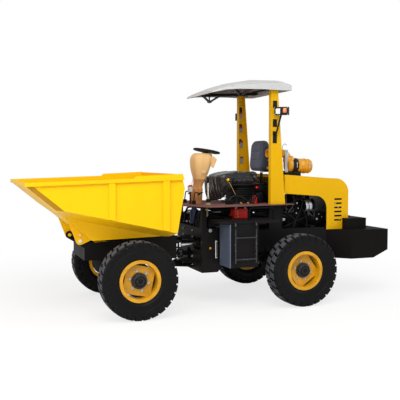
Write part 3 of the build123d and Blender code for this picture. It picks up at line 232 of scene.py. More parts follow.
@dataclass(frozen=True)
class Finish:
    """One finish of the machine, built as a node material on demand."""

    name: str
    colour: Point
    coat: Coat
    roughness: float
    mottle: float = 0.10
    chips: float = 0.0
    chip_colour: Point = (0.35, 0.33, 0.30)
    dust: float = 0.10
    dust_colour: Point = (0.45, 0.40, 0.33)
    scale: float = 3.0
    grain: float = 0.05
    grain_scale: float = 260.0
    ripple: float = 0.4
    gloss: float = 0.5
    coat_weight: float = 0.35
    slot: str = ""

    @property
    def record_slot(self) -> str:
        """Material slot in the record, which bears the finish's name unless given."""
        return self.slot or self.name

    def material(self) -> bpy.types.Material:
        """The material, made once and then reused."""
        label = f"finish_{self.name}"
        found = bpy.data.materials.get(label)
        if found:
            return found
        made = bpy.data.materials.new(label)
        made.use_nodes = True
        tree = made.node_tree
        worn = add_node(tree, "Group", {}, node_tree=ShopGroups.worn_paint())
        for socket, value in (("Colour", self.colour), ("Chip Colour", self.chip_colour),
                              ("Dust Colour", self.dust_colour)):
            worn.inputs[socket].default_value = (*value, 1.0)
        for socket, value in (("Mottle", self.mottle), ("Chips", self.chips),
                              ("Dust", self.dust), ("Scale", self.scale)):
            worn.inputs[socket].default_value = value
        rough = add_maths(tree, "ADD", worn.outputs["Roughness Shift"], self.roughness,
                          clamp=True)
        relief = add_node(tree, "Group", {}, node_tree=ShopGroups.grain())
        relief.inputs["Scale"].default_value = self.grain_scale
        relief.inputs["Ripple"].default_value = self.ripple
        bump = add_node(tree, "Bump", {"Strength": self.grain, "Distance": 0.002,
                                       "Height": relief.outputs["Height"]})
        shader = tree.nodes["Principled BSDF"].inputs
        for output, socket in ((worn.outputs["Colour"], "Base Color"), (rough, "Roughness"),
                               (bump.outputs["Normal"], "Normal")):
            tree.links.new(output, shader[socket])
        shader["Specular IOR Level"].default_value = self.gloss
        own = {Coat.PAINT: {"Coat Weight": self.coat_weight, "Coat Roughness": 0.18},
               Coat.METAL: {"Metallic": 1.0}, Coat.VINYL: {"Sheen Weight": 0.15},
               Coat.LENS: {"Coat Weight": 0.6, "Transmission Weight": 0.15}}
        for socket, value in own.get(self.coat, {}).items():
            shader[socket].default_value = value
        return made


SKIP_YELLOW = Finish("skip_yellow", tone(240, 188, 0), Coat.PAINT, 0.36, mottle=0.06,
                     chips=0.13, chip_colour=tone(250, 228, 130), dust=0.03, grain=0.03,
                     gloss=0.14, coat_weight=0.06)
# Painted shade: a darker tan copy of the skip's yellow for the down-facing bevel, in place of
# its shadow.
SHADED_BEVEL_YELLOW = Finish("bevel_painted_shade", tone(176, 130, 24), Coat.PAINT, 0.55, mottle=0.2, dust=0.03,
                   gloss=0.12, coat_weight=0.03)
DEEP_YELLOW = Finish("deep_yellow", tone(214, 163, 0), Coat.PAINT, 0.40, mottle=0.06,
                     chips=0.06, chip_colour=tone(150, 120, 30), dust=0.0, grain=0.03,
                     gloss=0.12, coat_weight=0.05)
# The dark brown chips and heavy mottle are partly rust stains and partly painted shade, like the
# shadows between the studs.
RIM_GOLD = Finish("rim_gold", tone(214, 154, 6), Coat.PAINT, 0.36, mottle=0.45, chips=0.26,
                  chip_colour=tone(112, 60, 14), scale=9.0, dust=0.03, gloss=0.3,
                  coat_weight=0.2)
BLACK_PAINT = Finish("black_paint", tone(20, 18, 18), Coat.PAINT, 0.46, mottle=0.3, chips=0.12,
                     chip_colour=tone(74, 66, 58), dust=0.06, dust_colour=tone(84, 78, 70),
                     grain=0.08, gloss=0.10, coat_weight=0.03)
BALLAST_BLACK = Finish("ballast_black", tone(20, 16, 16), Coat.PAINT, 0.52, mottle=0.3,
                       chips=0.05, chip_colour=tone(66, 58, 52), dust=0.03,
                       dust_colour=tone(80, 74, 66), grain=0.12, ripple=0.6, gloss=0.05,
                       coat_weight=0.01, slot="black_iron")
BLACK_IRON = Finish("black_iron", tone(20, 20, 21), Coat.PLASTIC, 0.55, mottle=0.3, chips=0.08,
                    chip_colour=tone(96, 90, 84), dust=0.04, grain=0.35, grain_scale=420.0,
                    gloss=0.12)
CAP_IRON = Finish("cap_iron", tone(34, 34, 36), Coat.PLASTIC, 0.42, mottle=0.35, chips=0.16,
                  chip_colour=tone(120, 122, 126), scale=14.0, dust=0.1, grain=0.3, gloss=0.4,
                  slot="black_iron")
TYRE_RUBBER = Finish("tyre", tone(12, 12, 14), Coat.RUBBER, 0.34, mottle=0.35, dust=0.03,
                     dust_colour=tone(84, 82, 84), grain=0.12, grain_scale=340.0, gloss=0.13)
TREAD_RUBBER = Finish("tread_rubber", tone(74, 74, 79), Coat.RUBBER, 0.75, mottle=0.45,
                      dust=0.3, dust_colour=tone(112, 110, 112), grain=0.4, grain_scale=300.0,
                      gloss=0.2)
RUST_PLATE = Finish("rust_plate", tone(112, 66, 60), Coat.PLASTIC, 0.66, mottle=0.45,
                    chips=0.18, chip_colour=tone(60, 36, 32), scale=12.0, dust=0.35,
                    dust_colour=tone(140, 100, 92), grain=0.5, grain_scale=180.0)
CONSOLE_PEACH = Finish("tan_plastic", tone(214, 173, 116), Coat.PLASTIC, 0.5, mottle=0.08,
                       dust=0.03, grain=0.10, grain_scale=520.0, gloss=0.2)
CONSOLE_TAN = Finish("console_tan", tone(184, 128, 74), Coat.PLASTIC, 0.52, mottle=0.10,
                     dust=0.03, grain=0.10, grain_scale=520.0, gloss=0.2, slot="tan_plastic")
BLACK_PLASTIC = Finish("black_plastic", tone(18, 18, 21), Coat.PLASTIC, 0.38, mottle=0.15,
                       dust=0.02, grain=0.12, grain_scale=600.0, gloss=0.2)
BELLOWS_RUBBER = Finish("black_rubber", tone(17, 17, 19), Coat.RUBBER, 0.45, mottle=0.15,
                        dust=0.06, grain=0.12, gloss=0.2)
WRAP_BLACK = Finish("black_vinyl", tone(15, 15, 17), Coat.VINYL, 0.20, mottle=0.15, dust=0.02,
                    grain=0.5, grain_scale=60.0, ripple=0.8, gloss=0.6)
SLATE_VINYL = Finish("slate_vinyl", tone(60, 62, 82), Coat.VINYL, 0.50, mottle=0.15, dust=0.02,
                     grain=0.35, grain_scale=480.0, ripple=0.1, gloss=0.2)
DARK_VINYL = Finish("dark_vinyl", tone(44, 46, 58), Coat.VINYL, 0.42, mottle=0.15, dust=0.02,
                    grain=0.25, grain_scale=480.0, ripple=0.1, gloss=0.2, slot="slate_vinyl")
ROOF_WHITE = Finish("white_plastic", tone(190, 190, 190), Coat.PLASTIC, 0.38, mottle=0.12,
                    dust=0.06, grain=0.03, gloss=0.3)
ROOF_LINING = Finish("roof_lining", tone(150, 134, 126), Coat.PLASTIC, 0.7, mottle=0.2,
                     dust=0.0, grain=0.3, grain_scale=120.0)
ENGINE_GREY = Finish("engine_grey", tone(15, 15, 17), Coat.PLASTIC, 0.42, mottle=0.35,
                     chips=0.06, chip_colour=tone(90, 88, 86), dust=0.02, grain=0.4, scale=8.0,
                     gloss=0.10)
BAY_BLACK = Finish("bay_black", tone(11, 11, 13), Coat.PLASTIC, 0.5, mottle=0.3, dust=0.02,
                   grain=0.2, gloss=0.05, slot="black_iron")
# Ladder tubes: the light grey chips are partly worn paint and partly painted highlights along
# the rails.
HIGHLIGHTED_TUBE_BLACK = Finish("tube_black_painted_highlights", tone(24, 26, 32), Coat.PAINT, 0.30, mottle=0.3, chips=0.30,
                    chip_colour=tone(112, 116, 126), scale=16.0, dust=0.03, gloss=0.4,
                    coat_weight=0.35)
ALLOY = Finish("alloy", tone(198, 200, 204), Coat.METAL, 0.32, mottle=0.18, grain=0.15,
               scale=14.0)
ZINC = Finish("zinc", tone(190, 186, 172), Coat.METAL, 0.34, mottle=0.15, grain=0.08,
              slot="alloy")
CHROME = Finish("chromed", tone(222, 222, 226), Coat.METAL, 0.12, mottle=0.04, grain=0.02)
OCHRE = Finish("ochre_paint", tone(206, 142, 4), Coat.PAINT, 0.24, mottle=0.3, chips=0.05,
               chip_colour=tone(120, 84, 40), dust=0.02, grain=0.05, gloss=0.35,
               coat_weight=0.2)
RED_PLASTIC = Finish("red_plastic", tone(228, 24, 12), Coat.PLASTIC, 0.38, mottle=0.08,
                     dust=0.03)
BLUE_PAINT = Finish("blue_paint", tone(36, 62, 130), Coat.PAINT, 0.35, mottle=0.1)
TANK_SHEEN = Finish("tank_sheen", tone(76, 86, 106), Coat.PAINT, 0.36, mottle=0.2, chips=0.06,
                    chip_colour=tone(130, 132, 138))
HOSE_BLACK = Finish("hose_black", tone(16, 16, 18), Coat.RUBBER, 0.36, dust=0.02, grain=0.2,
                    gloss=0.22, slot="black_rubber")
LENS_CLEAR = Finish("lens_clear", tone(240, 242, 246), Coat.LENS, 0.12, mottle=0.02, dust=0.0,
                    slot="white_plastic")
LENS_AMBER = Finish("lens_amber", tone(232, 122, 40), Coat.LENS, 0.18, mottle=0.02, dust=0.0,
                    slot="ochre_paint")
PALE_STEEL = Finish("pale_steel", tone(228, 226, 220), Coat.PAINT, 0.35, mottle=0.1,
                    slot="alloy")
OLIVE_BOOT = Finish("olive_boot", tone(148, 142, 100), Coat.RUBBER, 0.6, mottle=0.2,
                    slot="black_rubber")
BRASS = Finish("brass", tone(196, 160, 84), Coat.METAL, 0.30, mottle=0.2, dust=0.03,
               slot="alloy")
PLATE_GREY = Finish("plate_grey", tone(128, 128, 130), Coat.PLASTIC, 0.45, mottle=0.1,
                    dust=0.03, slot="alloy")
PLATE_RED = Finish("plate_red", tone(128, 20, 22), Coat.PLASTIC, 0.45, mottle=0.1, dust=0.03,
                   slot="red_plastic")

NODE_FINISHES: dict[str, Finish] = {node: finish for finish, nodes in (
    (BLACK_IRON, "front_axle propshaft_front rear_axle exhaust tow_hitch"),
    (SKIP_YELLOW, "skip_shell skip_rim skip_ribs skip_ears tip_bracket"),
    (ENGINE_GREY, "gearbox engine engine_drive"), (DEEP_YELLOW, "posts hood"),
    (BLACK_PLASTIC, "controls work_lamps steering_wheel"), (CHROME, "tip_rod steering_rod"),
    (BAY_BLACK, "radiator step_hoops"), (BALLAST_BLACK, "counterweight"),
    (BELLOWS_RUBBER, "seat_base"), (WRAP_BLACK, "seat_cushion"), (DARK_VINYL, "seat_back"),
    (CONSOLE_PEACH, "console"), (RUST_PLATE, "floor_plate"), (HIGHLIGHTED_TUBE_BLACK, "ladders"),
    (OCHRE, "air_cleaner"), (ROOF_WHITE, "roof"), (ZINC, "articulation_pins"),
    (RED_PLASTIC, "battery"), (BLUE_PAINT, "hydraulic_filter"),
) for node in nodes.split()}


# ---- mesh tools
def shade(bm: Mesh, degrees: float = 32.0) -> None:
    """Smooth faces, with edges sharper than the angle kept crisp."""
    limit = math.radians(degrees)
    for face in bm.faces:
        face.smooth = True
    for edge in bm.edges:
        edge.smooth = edge.is_manifold and edge.calc_face_angle(0.0) < limit


def present(made: Solid, finish: Finish, body: str) -> None:
    """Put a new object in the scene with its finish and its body."""
    bpy.context.scene.collection.objects.link(made)
    made.data.materials.append(finish.material())
    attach(made, body)


def make_piece(name: str, bm: Mesh, finish: Finish, body: str = "rear_chassis",
               slot: str = "", replaces: Sequence[str] = (), sharp: float = 32.0,
               normals: bool = True) -> Solid:
    """Turn a bmesh into a piece that rides on a body.

    Args:
        name: the piece's name.
        bm: its mesh, in the machine's frame; freed here.
        finish: its finish.
        body: the moving body that it rides on.
        slot: not used; meant as the record's material slot, where it isn't the finish's own.
        replaces: nodes that it stands for.
        sharp: edges over this angle stay crisp.
        normals: whether to turn the faces outwards.

    Returns:
        The new object.
    """
    if normals:
        bmesh.ops.recalc_face_normals(bm, faces=bm.faces)
    shade(bm, sharp)
    mesh = bpy.data.meshes.new(name)
    bm.to_mesh(mesh)
    bm.free()
    made = bpy.data.objects.new(name, mesh)
    present(made, finish, body)
    if replaces:
        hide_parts(*replaces)
    log.info("%s: %d faces on %s", name, len(mesh.polygons), body)
    return made


def turn_about(bm: Mesh, verts: Sequence[Vert], angle: float, axis: str) -> None:
    """Turn points about one of the axes, by an angle in radians."""
    bmesh.ops.rotate(bm, verts=verts, cent=(0, 0, 0), matrix=Matrix.Rotation(angle, 3, axis))


def add_box(bm: Mesh, low: Point, high: Point, round_by: float = 0.0,
            turn: Matrix | None = None) -> list[Vert]:
    """Block between two corners.

    Args:
        bm: the mesh to add to.
        low: lowest corner.
        high: highest corner.
        round_by: radius of its edges.
        turn: turn about its own centre, if any.

    Returns:
        The new vertices.
    """
    size = [h - l for l, h in zip(low, high)]
    centre = Vector([(h + l) / 2 for l, h in zip(low, high)])
    verts = bmesh.ops.create_cube(bm, size=1.0)["verts"]
    bmesh.ops.scale(bm, vec=size, verts=verts)
    if round_by:
        edges = {e for v in verts for e in v.link_edges}
        made = bmesh.ops.bevel(bm, geom=list(edges), offset=round_by, segments=2,
                               profile=0.5, affect="EDGES", material=-1)
        verts = list({v for f in made["faces"] for v in f.verts})
        verts = list({v for v in verts for f in v.link_faces for v in f.verts})
    if turn:
        bmesh.ops.transform(bm, matrix=turn.to_4x4(), verts=verts)
    bmesh.ops.translate(bm, vec=centre, verts=verts)
    return verts


def add_rod(bm: Mesh, start: Point, end: Point, radius: float,
            end_radius: float | None = None, sides: int = 16) -> list[Vert]:
    """Round bar or cone between two points.

    Args:
        bm: the mesh to add to.
        start: middle of its first end.
        end: middle of its second end.
        radius: radius at the start.
        end_radius: radius at the end, where it tapers.
        sides: sides of its section.

    Returns:
        The new vertices.
    """
    a, b = Vector(start), Vector(end)
    run = b - a
    verts = bmesh.ops.create_cone(
        bm, cap_ends=True, segments=sides, radius1=radius,
        radius2=radius if end_radius is None else end_radius, depth=run.length)["verts"]
    turn = Vector(UP).rotation_difference(run.normalized()).to_matrix().to_4x4()
    bmesh.ops.transform(bm, matrix=Matrix.Translation((a + b) / 2) @ turn, verts=verts)
    return verts


def add_turned(bm: Mesh, profile: Sequence[Pair], centre: Point,
               axis: Point, steps: int = 40) -> list[Vert]:
    """Form turned on a lathe.

    Args:
        bm: the mesh to add to.
        profile: distance along the axis and radius, from one end to the other.
        centre: the point that the profile starts from.
        axis: the direction of the axis.
        steps: sides of the turned form.

    Returns:
        The new vertices.
    """
    before = set(bm.verts)
    line = Vector(axis).normalized()
    side = line.orthogonal().normalized()
    base = Vector(centre)
    chain = [bm.verts.new(base + line * along + side * radius) for along, radius in profile]
    edges = [bm.edges.new(pair) for pair in zip(chain, chain[1:])]
    bmesh.ops.spin(bm, geom=chain + edges, cent=base, axis=line, angle=math.tau, steps=steps,
                   use_merge=True)
    made = [v for v in bm.verts if v not in before]
    bmesh.ops.remove_doubles(bm, verts=made, dist=1e-6)
    return [v for v in bm.verts if v not in before]


def add_hex(bm: Mesh, base: Point, axis: Point, radius: float, height: float) -> None:
    """Hexagon head or nut with a short stud end and a washer.

    Args:
        bm: the mesh to add to.
        base: the middle of its seat.
        axis: the direction that it points in.
        radius: radius over its corners.
        height: height of the hexagon.
    """
    a, line = Vector(base), Vector(axis).normalized()
    add_rod(bm, a, a + line * height * 0.22, radius * 1.25, sides=16)
    add_rod(bm, a + line * height * 0.2, a + line * height, radius, radius * 0.94, sides=6)
    add_rod(bm, a + line * height * 0.9, a + line * height * 1.3, radius * 0.5, sides=10)


def placed(point: Point) -> Point:
    """Place in the machine's frame of a point measured from the front axle."""
    x, y, z = point
    return ahead(x), y, z


def band(side: int, near: float, far: float) -> Pair:
    """Lower and upper Y between two distances from the middle, on a side of 1 or -1."""
    return (near, far) if side > 0 else (-far, -near)


def built_piece(name: str, finish: Finish, boxes: Sequence[tuple] = (),
                rods: Sequence[tuple] = (), hexes: Sequence[tuple] = (),
                turned: Sequence[tuple] = (), **settings: object) -> Solid:
    """Piece built up from rows of simple forms, each X measured from the front axle.

    Args:
        name: the piece's name.
        finish: its finish.
        boxes: rows of what add_box takes.
        rods: rows of what add_rod takes.
        hexes: rows of what add_hex takes.
        turned: rows of what add_turned takes.
        settings: what make_piece takes besides.

    Returns:
        The new object.
    """
    bm = bmesh.new()
    for low, high, *rest in boxes:
        add_box(bm, placed(low), placed(high), *rest)
    for start, end, *rest in rods:
        add_rod(bm, placed(start), placed(end), *rest)
    for base, *rest in hexes:
        add_hex(bm, placed(base), *rest)
    for profile, centre, *rest in turned:
        add_turned(bm, profile, placed(centre), *rest)
    return make_piece(name, bm, finish, **settings)


def extruded(bm: Mesh, edges: Sequence[Edge]) -> tuple[list[Vert], list[Edge]]:
    """Extrude a ring of edges without moving it.

    Args:
        bm: the mesh that holds the ring.
        edges: the ring's edges.

    Returns:
        The new ring's points and edges.
    """
    grown = bmesh.ops.extrude_edge_only(bm, edges=edges)["geom"]
    verts = [g for g in grown if isinstance(g, Vert)]
    ring = [g for g in grown if isinstance(g, Edge) and all(v in verts for v in g.verts)]
    return verts, ring


def hose(name: str, points: Sequence[Point], radius: float, finish: Finish) -> Solid:
    """Pipe, wire or hose of the rear chassis along smooth points.

    Args:
        name: the piece's name.
        points: its route, each X as a distance ahead of the front axle.
        radius: its outer radius.
        finish: its finish.

    Returns:
        The new object.
    """
    curve = bpy.data.curves.new(name, "CURVE")
    curve.dimensions = "3D"
    curve.bevel_depth = radius
    curve.bevel_resolution = 3
    curve.use_fill_caps = True
    line = curve.splines.new("NURBS")
    line.points.add(len(points) - 1)
    for knot, (x, y, z) in zip(line.points, points):
        knot.co = (ahead(x), y, z, 1.0)
    line.order_u = 3
    line.use_endpoint_u = True
    line.resolution_u = 8
    made = bpy.data.objects.new(name, curve)
    present(made, finish, "rear_chassis")
    return made


def merged_copy(source: Solid) -> Mesh:
    """Copy of a node's mesh with its loose triangles joined into whole faces."""
    bm = bmesh.new()
    bm.from_mesh(source.data)
    bmesh.ops.remove_doubles(bm, verts=bm.verts, dist=2e-5)
    bmesh.ops.dissolve_limit(bm, angle_limit=math.radians(0.8), use_dissolve_boundaries=False,
                             verts=bm.verts, edges=bm.edges)
    return bm


def round_edges(bm: Mesh, width: float, over: float = 30.0, segments: int = 2) -> None:
    """Round a mesh's sharp edges, as pressed and welded plate has.

    Args:
        bm: the mesh.
        width: radius of the rounded edges, in metres.
        over: only edges sharper than this angle are rounded.
        segments: steps across each rounded edge.
    """
    limit = math.radians(over)
    sharp = [e for e in bm.edges if e.is_manifold and e.calc_face_angle(0.0) > limit]
    bmesh.ops.bevel(bm, geom=sharp, offset=width, offset_type="OFFSET", segments=segments,
                    profile=0.5, affect="EDGES", clamp_overlap=True, material=-1)


# ---- wheels
@dataclass
class Wheel:
    """One wheel: tyre with block lugs, studs, cap and valve.

    The rim and the hub's casting stay as the frame has them.
    """

    name: str
    centre_x: float
    side: int
    centre_y: float = 0.8075
    centre_z: float = 0.430
    radius: float = 0.430
    carcass_radius: float = 0.4185
    lug_pitches: int = 27
    stud_circle: float = 0.111
    stud_count: int = 6
    disc_out: float = 0.022
    valve_reach: float = 0.176
    tread_sheen_radius: float = 0.4255

    @property
    def body(self) -> str:
        """Body that the wheel turns with."""
        return f"wheel_{self.name}"

    def carcass(self, bm: Mesh) -> None:
        """Tyre body: beads, ringed sidewalls and a tread base, turned on the lathe."""
        half = [(0.0845, 0.2034), (0.085, 0.2325), (0.090, 0.236), (0.096, 0.242),
                (0.0965, 0.248), (0.100, 0.253), (0.107, 0.268), (0.1125, 0.288),
                (0.115, 0.308), (0.1158, 0.322), (0.114, 0.3245), (0.114, 0.3275),
                (0.116, 0.330), (0.116, 0.336), (0.114, 0.3385), (0.114, 0.341),
                (0.115, 0.343), (0.1145, 0.358), (0.113, 0.375), (0.110, 0.390),
                (0.105, 0.402), (0.095, 0.411), (0.070, 0.4165), (0.035, 0.418),
                (0.0, self.carcass_radius)]
        profile = half + [(-y, r) for y, r in reversed(half[:-1])]
        add_turned(bm, profile, (0, 0, 0), LEFT, steps=104)

    def lug(self, bm: Mesh, angle: float, side: int) -> None:
        """Waisted block that runs from the shoulder to the tread's middle.

        Args:
            bm: the tyre's mesh.
            angle: where it sits round the tyre.
            side: 1 for the outer row and -1 for the inner row.
        """
        rows = [
            # distance from the middle, half length round the tyre, shift, height of the top
            (0.1162, 0.033, 0.020, 0.356), (0.116, 0.035, 0.020, 0.382),
            (0.1145, 0.0375, 0.020, 0.406), (0.111, 0.040, 0.020, 0.419),
            (0.102, 0.042, 0.019, 0.4265), (0.080, 0.036, 0.016, 0.429),
            (0.060, 0.031, 0.011, 0.4298), (0.040, 0.0345, 0.006, 0.4299),
            (0.024, 0.0415, 0.001, 0.430), (0.008, 0.035, -0.004, 0.430),
        ]
        tops, feet = [], []
        for away, half, shift, top in rows:
            foot = min(top - 0.004, 0.416 - 0.006 * (away / 0.11) ** 6)
            sunk = away - (0.004 if top < 0.41 else 0.0)
            for j in (-1.0, -0.4, 0.4, 1.0):
                turn = angle + side * (shift + half * j) / self.radius
                spot = math.sin(turn), math.cos(turn)
                tops.append(bm.verts.new((top * spot[0], side * away, top * spot[1])))
                feet.append(bm.verts.new((foot * spot[0], side * sunk, foot * spot[1])))
        made = []
        count = len(rows)
        for i in range(count - 1):
            for j in range(3):
                k = i * 4 + j
                made.append(bm.faces.new((tops[k], tops[k + 1], tops[k + 5], tops[k + 4])))
            for k in (i * 4, i * 4 + 3):
                made.append(bm.faces.new((tops[k], tops[k + 4], feet[k + 4], feet[k])))
        for k in (0, 1, 2, count * 4 - 4, count * 4 - 3, count * 4 - 2):
            made.append(bm.faces.new((tops[k], tops[k + 1], feet[k + 1], feet[k])))
        bmesh.ops.recalc_face_normals(bm, faces=made)
        rim = [e for e in {e for f in made for e in f.edges}
               if len(e.link_faces) == 2 and e.calc_face_angle(0.0) > 0.75]
        bmesh.ops.bevel(bm, geom=rim, offset=0.0022, segments=1, profile=0.5,
                        affect="EDGES", material=-1)

    def tyre(self) -> None:
        """Tyre, with two staggered rows of waisted blocks."""
        bm = bmesh.new()
        self.carcass(bm)
        step = math.tau / self.lug_pitches
        for i in range(self.lug_pitches):
            self.lug(bm, i * step, 1)
            self.lug(bm, (i + 0.5) * step, -1)
        self.place(bm)
        made = make_piece(f"{self.name}_tyre_dressed", bm, TYRE_RUBBER, self.body,
                          replaces=[f"tyre_{self.name}"], sharp=38)
        made.data.materials.append(TREAD_RUBBER.material())
        for face in made.data.polygons:
            out = math.hypot(face.center.x - self.centre_x, face.center.z - self.centre_z)
            face.material_index = 1 if out > self.tread_sheen_radius else 0

    def place(self, bm: Mesh) -> None:
        """Move a wheel-centred mesh to the axle's end, outer face outwards."""
        if self.side < 0:
            turn_about(bm, bm.verts, math.pi, "Z")
        bmesh.ops.translate(bm, verts=bm.verts,
                            vec=(self.centre_x, self.side * self.centre_y, self.centre_z))

    def studs(self) -> None:
        """Wheel studs with their nuts."""
        bm = bmesh.new()
        for i in range(self.stud_count):
            angle = math.tau * (i + 0.25) / self.stud_count
            spot = (self.stud_circle * math.cos(angle), self.disc_out,
                    self.stud_circle * math.sin(angle))
            add_hex(bm, spot, LEFT, 0.0145, 0.017)
        self.place(bm)
        make_piece(f"{self.name}_studs", bm, ZINC, self.body, "black_iron")

    def hub_cap(self) -> None:
        """Bolted cap with its splined ring, and the drum behind the disc."""
        bm = bmesh.new()
        collar = [(0.018, 0.060), (0.018, 0.086), (0.028, 0.089), (0.044, 0.0885),
                  (0.050, 0.085), (0.052, 0.060)]
        dome = [(0.030, 0.060), (0.030, 0.070), (0.042, 0.0715), (0.074, 0.070),
                (0.079, 0.066), (0.084, 0.056), (0.089, 0.050), (0.0915, 0.033),
                (0.0885, 0.030), (0.0885, 0.0)]
        drum = [(-0.080, 0.070), (-0.078, 0.160), (-0.072, 0.184), (-0.024, 0.186),
                (-0.016, 0.178), (-0.014, 0.136), (-0.014, 0.070)]
        for profile in (collar, dome):
            add_turned(bm, profile, (0, 0, 0), LEFT, steps=48)
        for i in range(12):
            rib = add_box(bm, (-0.0075, 0.030, 0.060), (0.0075, 0.080, 0.0745), 0.002)
            turn_about(bm, rib, math.tau * i / 12, "Y")
        for i in range(6):
            screw = add_rod(bm, (0, 0.0855, 0.041), (0, 0.0935, 0.041), 0.0065, sides=6)
            turn_about(bm, screw, math.tau * (i + 0.5) / 6, "Y")
        add_turned(bm, drum, (0, 0, 0), LEFT, steps=64)
        self.place(bm)
        make_piece(f"{self.name}_hub_cap", bm, CAP_IRON, self.body, sharp=25)

    def valve(self) -> None:
        """Tyre valve with its collar and dust cap."""
        bm = bmesh.new()
        angle = math.radians(-32)
        foot = Vector((self.valve_reach * math.cos(angle), self.disc_out - 0.001,
                       self.valve_reach * math.sin(angle)))
        add_turned(bm, [(0.0, 0.0), (0.0, 0.0075), (0.008, 0.007), (0.010, 0.0042),
                        (0.026, 0.004), (0.027, 0.0052), (0.040, 0.005), (0.041, 0.0)],
                   foot, (0.25, 0.97, -0.1), steps=14)
        self.place(bm)
        make_piece(f"{self.name}_valve", bm, ALLOY, self.body, "rim_gold")

    def build(self) -> None:
        """Make every piece of the wheel."""
        self.tyre()
        self.studs()
        self.hub_cap()
        self.valve()


# ---- softened frame nodes
@dataclass
class Softened:
    """Plate and moulded nodes that get rounded edges and their finish."""

    nodes: dict[str, Solid]

    def dress(self, node: str, finish: Finish, body: str = "rear_chassis",
              width: float = 0.0025, over: float = 28.0, segments: int = 2,
              tint: Callable[[Face], int] | None = None,
              extra: Sequence[Finish] = ()) -> Solid:
        """Stand a softened copy in for a node.

        Args:
            node: the node's name.
            finish: its main finish.
            body: the body that it rides on.
            width: radius of the rounded edges, in metres.
            over: only edges sharper than this are rounded.
            segments: steps across each rounded edge.
            tint: gives the finish's number for a face, where there are more.
            extra: the further finishes.

        Returns:
            The new object.
        """
        bm = merged_copy(self.nodes[node])
        round_edges(bm, width, over, segments)
        made = make_piece(f"{node}_dressed", bm, finish, body, replaces=[node], sharp=24,
                          normals=False)
        for further in extra:
            made.data.materials.append(further.material())
        if tint:
            for face in made.data.polygons:
                face.material_index = tint(face)
        weighted = made.modifiers.new("weighted", "WEIGHTED_NORMAL")
        weighted.keep_sharp = True
        return made


def finish_nodes(nodes: dict[str, Solid]) -> None:
    """Give every frame node its finish, in each of its material slots."""
    by_stem = {"tyre": TYRE_RUBBER, "rim": RIM_GOLD, "hub": BLACK_IRON}
    for name, node in nodes.items():
        finish = by_stem.get(name.split("_")[0]) or NODE_FINISHES.get(name, BLACK_PAINT)
        if not node.material_slots:
            node.data.materials.append(finish.material())
        for slot in node.material_slots:
            slot.material = finish.material()


# ---- skip
@dataclass
class Skip:
    """Tipping skip: panels, rim, ribs, ears, with weld beads and keepers."""

    half_width: float = 0.800
    pivot_x: float = 0.547
    pivot_z: float = 0.833
    frame_half: float = 0.340
    floor_z: float = 0.939
    slope_start: float = -0.460
    slope: float = 0.281 / 1.254
    bead_top_z: float = 1.461
    rim_front: float = 1.185
    rim_slope: float = 0.0321
    bead_radius: float = 0.0038
    ripple_pitch: float = 0.011

    def panels(self, soft: Softened) -> None:
        """Panels and rim with rounded folds."""
        def shaded_bevel_tint(face: Face) -> int:
            """Second finish, painted shade: darker tan on the narrow down-facing bevel along the
            slope's sides.
            """
            slanted = 0.35 < abs(face.normal.y) < 0.93 and face.normal.z < -0.15 \
                and face.normal.x > 0.05 and abs(face.center.y) > 0.72
            return 1 if slanted else 0
        soft.dress("skip_shell", SKIP_YELLOW, "skip", width=0.0022, tint=shaded_bevel_tint,
                   extra=[SHADED_BEVEL_YELLOW])
        for node, width, segments in (("skip_rim", 0.0035, 2), ("skip_ribs", 0.005, 3),
                                      ("skip_ears", 0.002, 2), ("tip_bracket", 0.0015, 2)):
            soft.dress(node, SKIP_YELLOW, "skip", width=width, segments=segments)

    def weld(self, bm: Mesh, start: Point, end: Point) -> None:
        """Rippled fillet weld along a straight joint."""
        a, b = Vector(start), Vector(end)
        long = (b - a).length
        count = max(3, int(long / self.ripple_pitch))
        ripples = [(long * i / count, self.bead_radius * (1.0 if i % 2 else 0.82))
                   for i in range(count + 1)]
        add_turned(bm, [(0.0, 0.0), *ripples, (long, 0.0)], a, b - a, steps=8)

    def welds(self) -> None:
        """Beads along both edges of each rib."""
        bm = bmesh.new()
        for side in (-1, 1):
            y = side * (self.half_width + 0.0005)
            for front, width in ((0.320, 0.072), (-0.283, 0.079)):
                for x in (front, front - width):
                    low = self.floor_z + (x - self.slope_start) * self.slope
                    high = self.bead_top_z + (self.rim_front - x) * self.rim_slope
                    self.weld(bm, (ahead(x), y, low), (ahead(x), y, high))
        make_piece("skip_weld_beads", bm, SKIP_YELLOW, "skip", sharp=50)

    def keepers(self) -> None:
        """Silver keeper discs, grease nipples and bolts at the pivots."""
        rods, hexes = [], []
        for side in (-1, 1):
            inner, outer, tip = ((self.pivot_x, side * (self.frame_half + out), self.pivot_z)
                                 for out in (0.033, 0.037, 0.047))
            rods += [(inner, outer, 0.020), (outer, tip, 0.0035, 0.002)]
            hexes.append(((self.pivot_x, side * (self.frame_half + 0.0335),
                           self.pivot_z + 0.068), (0, side, 0), 0.009, 0.009))
        built_piece("pivot_keepers", PALE_STEEL, rods=rods, hexes=hexes, body="skip",
                    slot="skip_yellow")

    def build(self, soft: Softened) -> None:
        """Make every piece of the skip."""
        self.panels(soft)
        self.welds()
        self.keepers()


